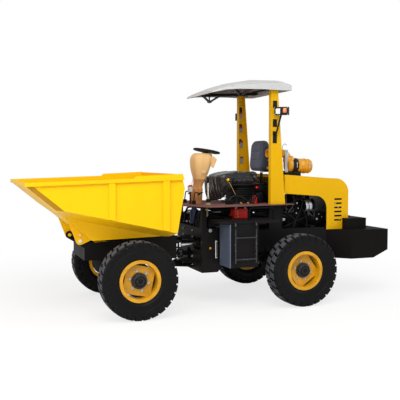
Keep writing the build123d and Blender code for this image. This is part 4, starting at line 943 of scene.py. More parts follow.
# ---- chassis
@dataclass
class Chassis:
    """Both chassis halves, tanks, steps, services and the joint between them."""

    tower_x: float = -0.880
    tower_side: float = 0.4505
    gauge_x: float = -1.060
    gauge_ends: Pair = (0.560, 0.790)
    floor_z: float = 1.1995
    step_z: float = 1.0395
    ladder_feet: Pair = (-1.345, -1.660)
    strap_x: Pair = (-1.180, -1.350)
    clip_x: Pair = (-1.132, -1.392)
    filter_at: Pair = (-0.925, 0.060)
    filter_radius: float = 0.052
    port_x: float = -1.385
    port_pitch: float = 0.060
    port_z: float = 1.125

    def plates(self, soft: Softened) -> None:
        """Welded plate nodes with rounded edges."""
        soft.dress("front_frame", BLACK_PAINT, "front_chassis", width=0.002)
        for node in ("tower", "clevis", "rear_frame", "side_steps"):
            soft.dress(node, BLACK_PAINT, width=0.0018)
        soft.dress("counterweight", BALLAST_BLACK, width=0.007, segments=3)

        def front_strip(face: Face) -> int:
            """Second finish for the strip of sheen on the tank's front corner."""
            return 1 if face.normal.x > 0.25 and abs(face.center.y) > 0.6 else 0
        soft.dress("side_tanks", BLACK_PAINT, width=0.004, tint=front_strip, extra=[TANK_SHEEN])
        soft.dress("floor_plate", RUST_PLATE, width=0.0012)

    @staticmethod
    def bar(x: float, y: float, foot: float, half: Point, leans_left: bool) -> tuple:
        """Row for one raised bar of tread, slanted to either side."""
        turn = Matrix.Rotation(math.radians(45 if leans_left else -45), 3, "Z")
        return ((x - half[0], y - half[1], foot), (x + half[0], y + half[1], foot + half[2] * 2),
                0.0, turn)

    def tread_pattern(self) -> None:
        """Raised bars on the floor plate and the step plates."""
        floor, steps = [], []
        for ix, iy in product(range(15), range(-13, 14)):
            y = iy * 0.046
            under_console = abs(y) < 0.24 and 0 < ix < 3
            under_seat = abs(y) < 0.22 and ix > 5
            if abs(y) <= (0.52 if ix < 11 else 0.40) and not under_console and not under_seat:
                floor.append(self.bar(-0.930 - 0.075 * ix, y, self.floor_z,
                                      (0.013, 0.0028, 0.00135), (ix + iy) % 2 == 1))
        for side, ix, iy in product((-1, 1), range(11), range(6)):
            x, y = -0.995 - 0.066 * ix, 0.490 + 0.055 * iy
            at_ladder = abs(y - 0.760) < 0.03 and any(abs(x - foot) < 0.04
                                                      for foot in self.ladder_feet)
            if not at_ladder:
                steps.append(self.bar(x, side * y, self.step_z, (0.012, 0.0026, 0.00125),
                                      (ix + iy) % 2 == 1))
        built_piece("floor_tread_bars", RUST_PLATE, boxes=floor)
        built_piece("step_tread_bars", BLACK_PAINT, boxes=steps)

    def tower_details(self) -> None:
        """Bolts and the fuel sight gauge on the tower's left side."""
        face, gauge = self.tower_side, self.gauge_x
        low, high = self.gauge_ends
        built_piece("tower_bolts", ALLOY, hexes=[
            ((-0.985, face, 0.902), LEFT, 0.017, 0.014),
            ((-0.905, -face, 0.902), (0, -1, 0), 0.017, 0.014),
            *(((self.tower_x, y, z), FORWARD, 0.011, 0.010)
              for z in (0.455, 0.560, 0.800, 0.880) for y in (-0.200, 0.120))])
        built_piece("tower_plug", OCHRE, hexes=[((-0.985, face, 0.692), LEFT, 0.012, 0.012)])
        built_piece("sight_gauge", PALE_STEEL, boxes=[
            ((gauge - 0.012, face, low), (gauge + 0.012, face + 0.0095, high), 0.004)])
        built_piece("sight_gauge_tube", BLACK_PLASTIC, rods=[
            *(((gauge, face, z), (gauge, face + 0.0195, z), 0.015, 0.012) for z in (low, high)),
            ((gauge, face + 0.014, low + 0.025), (gauge, face + 0.014, high - 0.025), 0.0055)])

    def tank_details(self) -> None:
        """Drain plugs, straps and ladder clips."""
        for side, word in SIDES:
            low, high = band(side, 0.8195, 0.8225)
            built_piece(f"tank_straps_{word}", BLACK_PAINT, boxes=[
                ((x - 0.016, low, 0.512), (x + 0.016, high, 0.988)) for x in self.strap_x
            ], hexes=[((-1.260, side * 0.700, 0.500), DOWN, 0.016, 0.012)])
            low, high = band(side, 0.853, 0.874)
            built_piece(f"ladder_clips_{word}", BLACK_IRON, boxes=[
                ((x - 0.013, low, 0.958), (x + 0.013, high, 0.972), 0.003) for x in self.clip_x
            ], rods=[((x, side * 0.862, 0.948), (x, side * 0.862, 0.982), 0.0115)
                     for x in self.clip_x])

    def battery(self) -> None:
        """Battery on its tray, with its terminals and earth strap."""
        built_piece("battery_case", RED_PLASTIC, boxes=[
            ((-1.4785, 0.2965, 1.014), (-1.3065, 0.4335, 1.1505), 0.006)])
        built_piece("battery_tray", BLACK_IRON, replaces=["battery"], boxes=[
            ((-1.4855, 0.2895, 0.9435), (-1.2995, 0.4405, 1.015), 0.003)])
        posts = (-1.455, -1.330)
        built_piece("battery_terminals", ALLOY, rods=[
            ((x, 0.400, 1.150), (x, 0.400, 1.168), 0.010, 0.008) for x in posts
        ], boxes=[((x - 0.012, 0.385, 1.154), (x + 0.012, 0.425, 1.165), 0.002) for x in posts])
        hose("battery_strap", [(-1.350, 0.440, 1.000), (-1.345, 0.442, 1.080),
                               (-1.340, 0.441, 1.150), (-1.352, 0.400, 1.170)], 0.005, BRASS)

    def filters(self) -> None:
        """Grip ribs of the pressure filter, and the return strainer."""
        ribs = []
        for i in range(24):
            angle = math.tau * i / 24
            x = self.filter_at[0] + self.filter_radius * math.cos(angle)
            y = self.filter_at[1] + self.filter_radius * math.sin(angle)
            ribs.append(((x, y, 0.966), (x, y, 1.020), 0.0025, None, 6))
        built_piece("filter_grip", BLUE_PAINT, rods=ribs)
        built_piece("return_strainer", OLIVE_BOOT, turned=[
            ([(0.0, 0.0), (0.0, 0.024), (0.006, 0.030), (0.070, 0.030), (0.076, 0.034),
              (0.090, 0.034), (0.094, 0.022), (0.119, 0.020)], (-0.938, 0.420, 1.070), UP, 28)])

    def valve_bank(self) -> None:
        """Hydraulic valves below the deck, their unions, and two loom plugs."""
        ports = [self.port_x - self.port_pitch * i for i in range(4)]
        z = self.port_z
        built_piece("valve_bank", ENGINE_GREY, boxes=[
            ((-1.600, -0.110, 1.062), (-1.350, 0.110, 1.1875), 0.006),
            ((-1.340, -0.090, 1.120), (-1.180, 0.090, 1.1875), 0.006),
        ], rods=[row for x in ports for row in (((x, 0.110, z), (x, 0.150, z), 0.020, 0.018),
                                                ((x, 0.150, z), (x, 0.168, z), 0.012))])
        built_piece("valve_fittings", BRASS, hexes=[
            row for x in ports for row in (((x, 0.166, z), LEFT, 0.013, 0.012),
                                           ((x - 0.015, 0.060, 1.0625), DOWN, 0.012, 0.014))])
        built_piece("loom_plug_blue", BLUE_PAINT, boxes=[
            ((-1.240, 0.440, 1.0005), (-1.214, 0.470, 1.034), 0.003)])
        built_piece("loom_plug_white", PALE_STEEL, boxes=[
            ((-1.206, 0.444, 1.0005), (-1.188, 0.466, 1.030), 0.003)])

    def hoses(self) -> None:
        """Hydraulic hoses below the deck and at the tower."""
        routes = (
            # height at the tower, sag, height at the rear, distance from the middle at each end
            (1.100, 0.030, 1.130, -0.30, -0.20), (1.150, 0.035, 1.150, -0.22, -0.05),
            (1.070, 0.020, 1.090, -0.10, 0.05), (1.160, 0.050, 1.170, 0.00, 0.12),
            (1.120, 0.045, 1.120, 0.12, 0.22), (1.050, 0.010, 1.060, 0.20, 0.30),
            (1.165, 0.030, 1.150, 0.28, 0.34), (1.090, 0.050, 1.100, 0.34, 0.38),
        )
        for index, (front_z, sag, rear_z, front_y, rear_y) in enumerate(routes):
            middle = (front_y + rear_y) / 2
            hose(f"deck_hose_{index}",
                 [(-0.900, front_y, 0.915), (-0.905, front_y, front_z - 0.02),
                  (-1.000, front_y, front_z), (-1.180, middle, front_z - sag),
                  (-1.420, middle, (front_z + rear_z) / 2 - sag),
                  (-1.640, rear_y, rear_z - 0.01), (-1.800, rear_y, rear_z),
                  (-2.020, rear_y, rear_z - 0.06)],
                 0.0125 if index % 2 else 0.0095, HOSE_BLACK)
        for index, (y, z, sag) in enumerate(((0.205, 0.850, 0.05), (0.232, 0.842, 0.06),
                                             (0.120, 0.862, 0.04))):
            hose(f"tower_hose_{index}",
                 [(-1.060, y - 0.05, z + 0.06), (-0.955, y - 0.02, z + 0.05),
                  (-0.905, y, z + 0.02), (-0.893, y, z - sag)], 0.0095, HOSE_BLACK)

    def build(self, soft: Softened) -> None:
        """Make every piece of the chassis."""
        self.plates(soft)
        self.tread_pattern()
        self.tower_details()
        self.tank_details()
        self.battery()
        self.filters()
        self.valve_bank()
        self.hoses()


# ---- driver's place
@dataclass
class DriverPlace:
    """Console, steering wheel, levers, pedals and the sprung seat."""

    deck_z: float = 1.200
    foot_z: float = 1.2005
    base_top: float = 1.4463
    seat_top: float = 1.592
    seam_z: float = 1.498
    column_tilt: float = -10.0
    rim_reach: float = 0.158
    rim_radius: float = 0.0134
    finger_dents: int = 36
    lever_y: float = 0.290
    boot_top: float = 1.292
    boot_rings: int = 6
    knob_z: float = 1.462
    tank_x: float = -0.835
    tank_y: float = 0.165
    pad_voxel: float = 0.008
    pad_frames: int = 20
    pad_reach: float = 0.007

    def console(self, soft: Softened) -> None:
        """Moulded console, darker below its seam, with its seams, cheeks and bosses."""
        def lower(face: Face) -> int:
            """Second finish below the console's seam."""
            return 1 if face.center.z < self.seam_z else 0
        made = soft.dress("console", CONSOLE_PEACH, width=0.003, tint=lower,
                          extra=[CONSOLE_TAN])
        for v in made.data.vertices:
            v.co.x += 0.030 * min(max((1.500 - v.co.z) / 0.15, 0.0), 1.0)
        bm = bmesh.new()
        cheek = [(-1.128, 1.782), (-1.162, 1.782), (-1.200, 1.744), (-1.152, 1.640),
                 (-1.120, 1.668)]
        for side in (-1, 1):
            boss = bmesh.ops.create_uvsphere(bm, u_segments=24, v_segments=13,
                                             radius=0.034)["verts"]
            bmesh.ops.scale(bm, vec=(1.0, 0.30, 1.25), verts=boss)
            bmesh.ops.translate(bm, vec=(ahead(-1.030), side * 0.127, 1.606), verts=boss)
            outline = [bm.verts.new((ahead(x), side * 0.132, z)) for x, z in cheek]
            slab = bmesh.ops.extrude_face_region(bm, geom=[bm.faces.new(outline)])["geom"]
            inner = [g for g in slab if isinstance(g, Vert)]
            bmesh.ops.translate(bm, verts=inner, vec=(0, -side * 0.016, 0))
        make_piece("console_cheeks", bm, CONSOLE_PEACH, sharp=40)
        for side, word in SIDES:
            hose(f"console_crease_{word}",
                 [(-0.965, side * 0.0965, 1.490), (-0.950, side * 0.0955, 1.455),
                  (-0.955, side * 0.0935, 1.400), (-0.990, side * 0.0915, 1.340),
                  (-1.022, side * 0.090, 1.300)], 0.0035, CONSOLE_TAN)
            hose(f"console_seam_{word}",
                 [(-0.960, side * 0.0975, 1.503), (-1.010, side * 0.0985, 1.502),
                  (-1.070, side * 0.0975, 1.500)], 0.004, CONSOLE_TAN)

    def column(self) -> None:
        """Shroud below the steering wheel and the gauge panel behind it."""
        bm = bmesh.new()
        add_turned(bm, [(-0.014, 0.0), (-0.014, 0.052), (-0.004, 0.056), (0.001, 0.050),
                        (0.004, 0.040), (0.0045, 0.0175)], (0, 0, 0), UP, steps=40)
        self.lean(bm, (ahead(-1.109), 0, 1.8235))
        make_piece("column_shroud", bm, BLACK_PLASTIC)
        built_piece("gauge_panel", BLACK_PLASTIC, boxes=[
            ((-1.160, -0.112, 1.680), (-1.150, 0.112, 1.760), 0.004,
             Matrix.Rotation(math.radians(12), 3, "Y"))
        ], rods=[((-1.152, y, 1.725), (-1.168, y, 1.728), 0.020, 0.019)
                 for y in (-0.065, 0.0, 0.065)])

    def lean(self, bm: Mesh, place: Point) -> None:
        """Tilt a mesh made about the column's axis, and move it to its place."""
        turn_about(bm, bm.verts, math.radians(self.column_tilt), "Y")
        bmesh.ops.translate(bm, verts=bm.verts, vec=place)

    def steering_wheel(self) -> None:
        """Padded rim with finger grips, dished spokes and a horn cap."""
        bm = bmesh.new()
        ring = bmesh.ops.create_circle(bm, radius=self.rim_radius, segments=14)["verts"]
        turn_about(bm, ring, math.pi / 2, "X")
        bmesh.ops.translate(bm, verts=ring, vec=(self.rim_reach, 0, 0))
        edges = list({e for v in ring for e in v.link_edges})
        bmesh.ops.spin(bm, geom=ring + edges, cent=(0, 0, 0), axis=UP, angle=math.tau,
                       steps=72, use_merge=True)
        for v in bm.verts:
            reach = math.hypot(v.co.x, v.co.y)
            if reach < self.rim_reach:
                around = math.atan2(v.co.y, v.co.x)
                dent = 0.0016 * (0.5 + 0.5 * math.cos(around * self.finger_dents))
                v.co.x *= 1 + dent / reach
                v.co.y *= 1 + dent / reach
        for degrees_round in (90, 210, 330):
            spoke = add_box(bm, (0.020, -0.014, -0.010), (0.152, 0.014, 0.0005), 0.004)
            for v in spoke:
                arch = math.sin(math.pi * min(max((v.co.x - 0.02) / 0.132, 0), 1))
                v.co.y *= 1.35 - 0.55 * arch
                v.co.z -= 0.010 * arch
            turn_about(bm, spoke, math.radians(degrees_round), "Z")
        add_turned(bm, [(-0.0188, 0.0), (-0.0188, 0.040), (-0.010, 0.046), (0.002, 0.044),
                        (0.008, 0.034), (0.010, 0.020), (0.010, 0.0)], (0, 0, 0), UP,
                   steps=32)
        add_rod(bm, (0, 0, -0.105), (0, 0, -0.015), 0.0169, sides=24)
        self.lean(bm, (ahead(-1.113), 0, 1.851))
        make_piece("steering_wheel_dressed", bm, BLACK_PLASTIC, "steering_wheel",
                   replaces=["steering_wheel"], sharp=40)

    def boot(self, name: str, x: float, finish: Finish) -> None:
        """Ribbed lever boot, turned about its lever.

        Args:
            name: the piece's name.
            x: distance of the lever ahead of the front axle.
            finish: its finish.
        """
        rings = self.boot_rings
        low = self.deck_z + 0.001
        tall = self.boot_top - low
        profile = [(0.0, 0.0), (0.0, 0.036)]
        for i in range(rings):
            share = i / rings
            radius = 0.033 * (1 - share) + 0.012 * share
            at = 0.004 + tall * share
            profile += [(at, radius), (at + tall / rings * 0.5, radius * 0.82)]
        profile += [(tall + 0.004, 0.0085), (tall + 0.004, 0.0)]
        built_piece(name, finish, turned=[(profile, (x, self.lever_y, low), UP, 22)])

    def levers(self) -> None:
        """Shift and dump levers with boots and knobs, and the brake lever."""
        y, knob_z = self.lever_y, self.knob_z
        self.boot("lever_boot_front", -1.020, OLIVE_BOOT)
        self.boot("lever_boot_rear", -1.395, BELLOWS_RUBBER)
        built_piece("lever_knob_front", BLACK_PLASTIC, turned=[
            ([(0.0, 0.0), (0.0, 0.0095), (0.012, 0.0105), (0.030, 0.015), (0.046, 0.0205),
              (0.056, 0.019), (0.064, 0.012), (0.066, 0.0)],
             (-1.0182, y, knob_z), (0.02, 0, 1), 24)])
        built_piece("lever_knob_rear", SKIP_YELLOW, turned=[
            ([(0.0, 0.0), (0.0, 0.009), (0.012, 0.010), (0.030, 0.016), (0.044, 0.0185),
              (0.052, 0.015), (0.056, 0.0)], (-1.294, y, knob_z), (0.34, 0, 0.94), 24)])
        built_piece("lever_stem_front", PALE_STEEL, rods=[
            ((-1.020, y, 1.270), (-1.0182, y, knob_z + 0.004), 0.0078, 0.0072)])
        built_piece("lever_stem_rear", BRASS, rods=[
            ((-1.388, y, self.boot_top), (-1.296, y, knob_z + 0.002), 0.0078, 0.0072)])
        built_piece("brake_lever_base", BLACK_IRON, boxes=[
            ((-1.330, 0.318, self.foot_z), (-1.230, 0.352, 1.258), 0.006)
        ], hexes=[((-1.280, face, 1.235), (0, out, 0), 0.011, 0.008)
                  for face, out in ((0.318, -1), (0.352, 1))])
        hose("brake_lever", [(-1.268, 0.335, 1.230), (-1.300, 0.335, 1.290),
                             (-1.380, 0.335, 1.305), (-1.450, 0.335, 1.285),
                             (-1.545, 0.335, 1.218)], 0.013, BLACK_PLASTIC)

    def deck_fittings(self) -> None:
        """Knobs, a black cover that stands in for the shade and dark clutter behind the seat,
        battery isolator and lines on the deck.
        """
        knob = [(0.0, 0.0), (0.0, 0.014), (0.010, 0.016), (0.026, 0.012), (0.034, 0.0)]
        built_piece("deck_knobs", BRASS, turned=[
            (knob, (x, 0.400, self.foot_z), (0.3, 0, 1), 18) for x in (-1.408, -1.500)])
        # Painted shade: a black box in place of the shade and dark clutter behind the seat.
        built_piece("shade_fill_cover", BLACK_PLASTIC, boxes=[
            ((-1.790, -0.300, self.foot_z), (-1.690, 0.240, 1.330), 0.012),
            ((-1.770, -0.240, 1.330), (-1.705, 0.160, 1.372), 0.012)])
        built_piece("isolator", RED_PLASTIC, turned=[
            ([(0.0, 0.0), (0.0, 0.022), (0.005, 0.026), (0.070, 0.026), (0.080, 0.018),
              (0.090, 0.010), (0.100, 0.010), (0.100, 0.0)],
             (-1.640, 0.300, self.foot_z), UP, 24)])
        for index, (y0, y1, top) in enumerate(((0.210, 0.330, 1.330), (0.150, 0.270, 1.300),
                                               (0.250, 0.390, 1.290))):
            hose(f"deck_line_{index}",
                 [(-1.700, y0, 1.240), (-1.660, y0 + 0.02, top), (-1.610, y1 - 0.02, top - 0.01),
                  (-1.580, y1, 1.203)], 0.010, HOSE_BLACK)

    def pedals_and_tank(self) -> None:
        """Ribbed pedal pads and the white fluid tank with its cap."""
        bm = bmesh.new()
        for y, i in product((-0.165, 0.165), range(5)):
            rib = add_box(bm, (-0.030 + 0.0135 * i, -0.026, 0.004),
                          (-0.024 + 0.0135 * i, 0.026, 0.0068), 0.0008)
            turn_about(bm, rib, math.radians(30), "Y")
            bmesh.ops.translate(bm, verts=rib, vec=(ahead(-0.962), y, self.deck_z + 0.1283))
        make_piece("pedal_pads", bm, BELLOWS_RUBBER)
        foot = self.deck_z + 0.1495
        built_piece("fluid_tank", ROOF_WHITE, turned=[
            ([(0.0, 0.0), (0.0, 0.026), (0.004, 0.0305), (0.034, 0.031), (0.036, 0.0325),
              (0.040, 0.0325), (0.042, 0.031), (0.066, 0.0305), (0.072, 0.022), (0.072, 0.0)],
             (self.tank_x, self.tank_y, foot), UP, 36)])
        built_piece("fluid_tank_cap", RED_PLASTIC, turned=[
            ([(0.0, 0.0), (0.0, 0.0215), (0.014, 0.021), (0.0165, 0.0175), (0.0165, 0.0)],
             (self.tank_x, self.tank_y, foot + 0.072), UP, 24)])

    def padded_block(self, name: str, low: Point, high: Point, pull: float, crown: float,
                     finish: Finish, node: str,
                     shape: Callable[[Vector], Vector] | None = None,
                     wrinkle: float = 0.0) -> Solid:
        """Cushion with a crowned face, rounded sides and creases.

        Args:
            name: the piece's name.
            low: lowest corner.
            high: highest corner.
            pull: how far the sides draw in between the corners.
            crown: how far the faces stand proud in the middle.
            finish: its finish.
            node: the frame node that it stands for.
            shape: further change to each point, if any.
            wrinkle: depth of the creases in the cover.

        Returns:
            The new object.
        """
        bm = bmesh.new()
        bmesh.ops.create_cube(bm, size=2.0)
        bmesh.ops.subdivide_edges(bm, edges=bm.edges, cuts=18, use_grid_fill=True)
        half = Vector([(h - l) / 2 for l, h in zip(low, high)])
        middle = Vector([(h + l) / 2 for l, h in zip(low, high)])
        power = 7.0
        for v in bm.verts:
            flat = v.co.copy()
            x2, y2, z2 = flat.x ** 2, flat.y ** 2, flat.z ** 2
            unit = flat / sum(abs(part) ** power for part in flat) ** (1 / power)
            bulge = Vector((1 - pull * (y2 + z2) / 2, 1 - pull * (x2 + z2) / 2,
                            1 - crown * (x2 + y2) / 2))
            point = Vector([u * h * b for u, h, b in zip(unit, half, bulge)]) + middle
            if wrinkle:
                crease = noise.noise(Vector((point.x * 9, point.y * 24, point.z * 30))) \
                    + 0.5 * noise.noise(Vector((point.x * 34, point.y * 20, point.z * 52)))
                point += flat.normalized() * wrinkle * (crease - 0.5)
            v.co = shape(point) if shape else point
        bm.normal_update()
        made = make_piece(name, bm, finish, replaces=[node], sharp=180)
        self.plump(made, low[2])
        fine = made.modifiers.new("fine", "SUBSURF")
        fine.levels = 1
        fine.render_levels = 1
        return made

    def plump(self, made: Solid, floor: float) -> None:
        """Swell a pad with a short cloth run, held near its start and above its seat.

        Args:
            made: the pad.
            floor: height below which no point goes.
        """
        even = made.modifiers.new("even", "REMESH")
        even.mode = "VOXEL"
        even.voxel_size = self.pad_voxel
        view = bpy.context.evaluated_depsgraph_get()
        made.data = bpy.data.meshes.new_from_object(made.evaluated_get(view))
        made.modifiers.clear()
        start = [v.co.copy() for v in made.data.vertices]
        cloth = made.modifiers.new("pad", "CLOTH")
        cloth.settings.quality = 5
        cloth.settings.use_pressure = True
        cloth.settings.uniform_pressure_force = 4.0
        cloth.settings.effector_weights.gravity = 0.0
        for frame in range(1, self.pad_frames + 1):
            bpy.context.scene.frame_set(frame)
        view = bpy.context.evaluated_depsgraph_get()
        swollen = [v.co.copy() for v in made.evaluated_get(view).data.vertices]
        made.modifiers.clear()
        bpy.context.scene.frame_set(1)
        for v, before, after in zip(made.data.vertices, start, swollen):
            step = after - before
            if step.length > self.pad_reach:
                step *= self.pad_reach / step.length
            v.co = before + step
            v.co.z = max(v.co.z, floor)
        for face in made.data.polygons:
            face.use_smooth = True

    def cushion(self) -> None:
        """Seat cushion in its glossy wrap, flat below and crowned above."""
        half_width = 0.243
        low = (ahead(-1.753), -half_width, self.base_top + 0.001)
        high = (ahead(-1.188), half_width, self.seat_top + 0.012)

        def settle(point: Vector) -> Vector:
            """Flatten the underside, slope the nose and dip the top between its bolsters."""
            share = (point.z - low[2]) / (high[2] - low[2])
            nose = min(max((point.x - ahead(-1.420)) / 0.232, 0.0), 1.0)
            if share > 0.4:
                across = min(abs(point.y) / half_width, 1)
                point.z -= 0.014 * math.cos(across * math.pi / 2) ** 2 * (share - 0.4) * 1.6
                point.z -= 0.040 * nose ** 0.8 * (share - 0.4) * 1.6
            point.z = max(point.z, low[2])
            return point
        self.padded_block("seat_cushion_padded", low, high, 0.05, 0.10, WRAP_BLACK,
                          "seat_cushion", settle, wrinkle=0.011)

    def drape(self) -> None:
        """Loose wrap that hangs in folds from the cushion's nose and left side."""
        route = [
            # X, Y, foot Z
            (-1.400, 0.244, 1.470), (-1.330, 0.247, 1.400), (-1.265, 0.245, 1.330),
            (-1.212, 0.233, 1.275), (-1.188, 0.185, 1.255), (-1.176, 0.070, 1.238),
            (-1.158, -0.060, 1.226), (-1.150, -0.180, 1.222),
        ]
        top = 1.535
        bm = bmesh.new()
        bmesh.ops.create_grid(bm, x_segments=72, y_segments=20, size=0.5)
        for v in bm.verts:
            along = (v.co.x + 0.5) * (len(route) - 1)
            index = min(int(along), len(route) - 2)
            part = along - index
            x, y, foot = (a + (b - a) * part for a, b in zip(route[index], route[index + 1]))
            fall = 0.5 - v.co.y
            fold = noise.noise(Vector((along * 2.6, fall * 1.4, 0.0))) \
                + 0.5 * noise.noise(Vector((along * 6.0, fall * 5.0, 3.0)))
            out = Vector((x + 1.46, y * 0.9, 0.0)).normalized()
            tuck = 0.050 * fall ** 2
            v.co = Vector((ahead(x), y, top + (foot - top) * fall)) \
                + out * (fold * 0.024 * (0.3 + fall) - tuck)
            v.co.z += 0.014 * noise.noise(Vector((along * 1.7, 0.0, 9.0))) * fall
        bmesh.ops.solidify(bm, geom=bm.faces[:], thickness=0.0018)
        made = make_piece("seat_wrap_drape", bm, WRAP_BLACK, sharp=180)

    def back_rest(self) -> None:
        """Seat back: dark shell and bolsters with three sewn panels."""
        lean = Matrix.Rotation(math.radians(-4), 3, "Y")
        foot = Vector((ahead(-1.775), 0, 1.575))

        def upright(point: Vector) -> Vector:
            """Round the shoulders, thin the top, and lean it all back."""
            tall = point.z / 0.430
            if tall > 0.8:
                point.y *= 1 - 0.16 * ((tall - 0.8) / 0.2) ** 2
            wing = max(0.0, abs(point.y) / 0.235 - 0.62) / 0.38
            if point.x > -0.047:
                point.x += -0.016 + 0.026 * wing ** 1.5 * (1 - 0.5 * max(tall - 0.7, 0))
            moved = lean @ point + foot
            moved.x = min(moved.x, foot.x + 0.001)
            return moved
        self.padded_block("seat_back_padded", (-0.094, -0.206, 0.020), (0.0, 0.206, 0.424),
                          0.03, 0.03, DARK_VINYL, "seat_back", upright)
        for index, (z0, z1) in enumerate(((0.060, 0.170), (0.178, 0.278), (0.286, 0.385))):
            half_width = 0.150 - 0.012 * index
            bm = bmesh.new()
            bmesh.ops.create_grid(bm, x_segments=22, y_segments=12, size=1.0)
            for v in bm.verts:
                across, up = v.co.x, v.co.y
                edge = (1 - abs(across) ** 8) * (1 - abs(up) ** 6)
                depth = -0.012 + 0.0105 * max(edge, 0.0) ** 0.5
                point = Vector((depth, across * half_width,
                                (z0 + z1) / 2 + up * (z1 - z0) / 2))
                v.co = lean @ point + foot
            bmesh.ops.solidify(bm, geom=bm.faces[:], thickness=0.006)
            made = make_piece(f"seat_back_panel_{index}", bm, SLATE_VINYL, sharp=75)
        hinges = (-0.165, 0.165)
        built_piece("seat_hinges", BLACK_IRON, boxes=[
            ((-1.8005, y - 0.026, self.base_top + 0.0005), (-1.7835, y + 0.026, 1.585), 0.003)
            for y in hinges
        ], hexes=[((-1.7835, y, 1.500), FORWARD, 0.010, 0.008) for y in hinges])
        built_piece("seat_adjuster", RED_PLASTIC, turned=[
            ([(0.0, 0.0), (0.0, 0.012), (0.012, 0.015), (0.024, 0.013), (0.028, 0.0)],
             (-1.700, 0.2105, self.base_top - 0.050), (0, 1, 0.1), 20)])

    def bellows(self) -> None:
        """Rubber bellows with rounded folds round the seat's suspension."""
        bm = bmesh.new()
        low, folds, pitch = self.deck_z + 0.0243, 7, 0.028
        middle_x, reach_x, reach_y = ahead(-1.5925), 0.1875, 0.192

        def ring(z: float, inset: float) -> set[Edge]:
            """Rounded oblong of edges at a height."""
            verts = bmesh.ops.create_circle(bm, radius=1.0, segments=64)["verts"]
            for v in verts:
                out = (abs(v.co.x) ** 5 + abs(v.co.y) ** 5) ** (-1 / 5)
                v.co = (middle_x + v.co.x * out * (reach_x - inset),
                        v.co.y * out * (reach_y - inset), z)
            return {e for v in verts for e in v.link_edges}
        bulges = ((0.05, 0.017), (0.25, 0.004), (0.42, 0.0), (0.60, 0.004), (0.85, 0.017))
        rings = [ring(low + (fold + share) * pitch, inset)
                 for fold in range(folds) for share, inset in bulges]
        for a, b in zip(rings, rings[1:]):
            bmesh.ops.bridge_loops(bm, edges=list(a | b))
        for end in (rings[0], rings[-1]):
            bmesh.ops.contextual_create(bm, geom=list(end))
        for x0, x1, half, z0, z1 in (
                (-1.790, -1.395, 0.200, self.deck_z + 0.0005, self.deck_z + 0.0245),
                (-1.800, -1.385, 0.210, self.base_top - 0.0262, self.base_top - 0.0003)):
            add_box(bm, (ahead(x0), -half, z0), (ahead(x1), half, z1), 0.005)
        make_piece("seat_bellows", bm, BELLOWS_RUBBER, replaces=["seat_base"], sharp=50)

    def build(self, soft: Softened) -> None:
        """Make every piece at the driver's place."""
        self.console(soft)
        self.column()
        self.steering_wheel()
        self.levers()
        self.deck_fittings()
        self.pedals_and_tank()
        self.cushion()
        self.drape()
        self.back_rest()
        self.bellows()


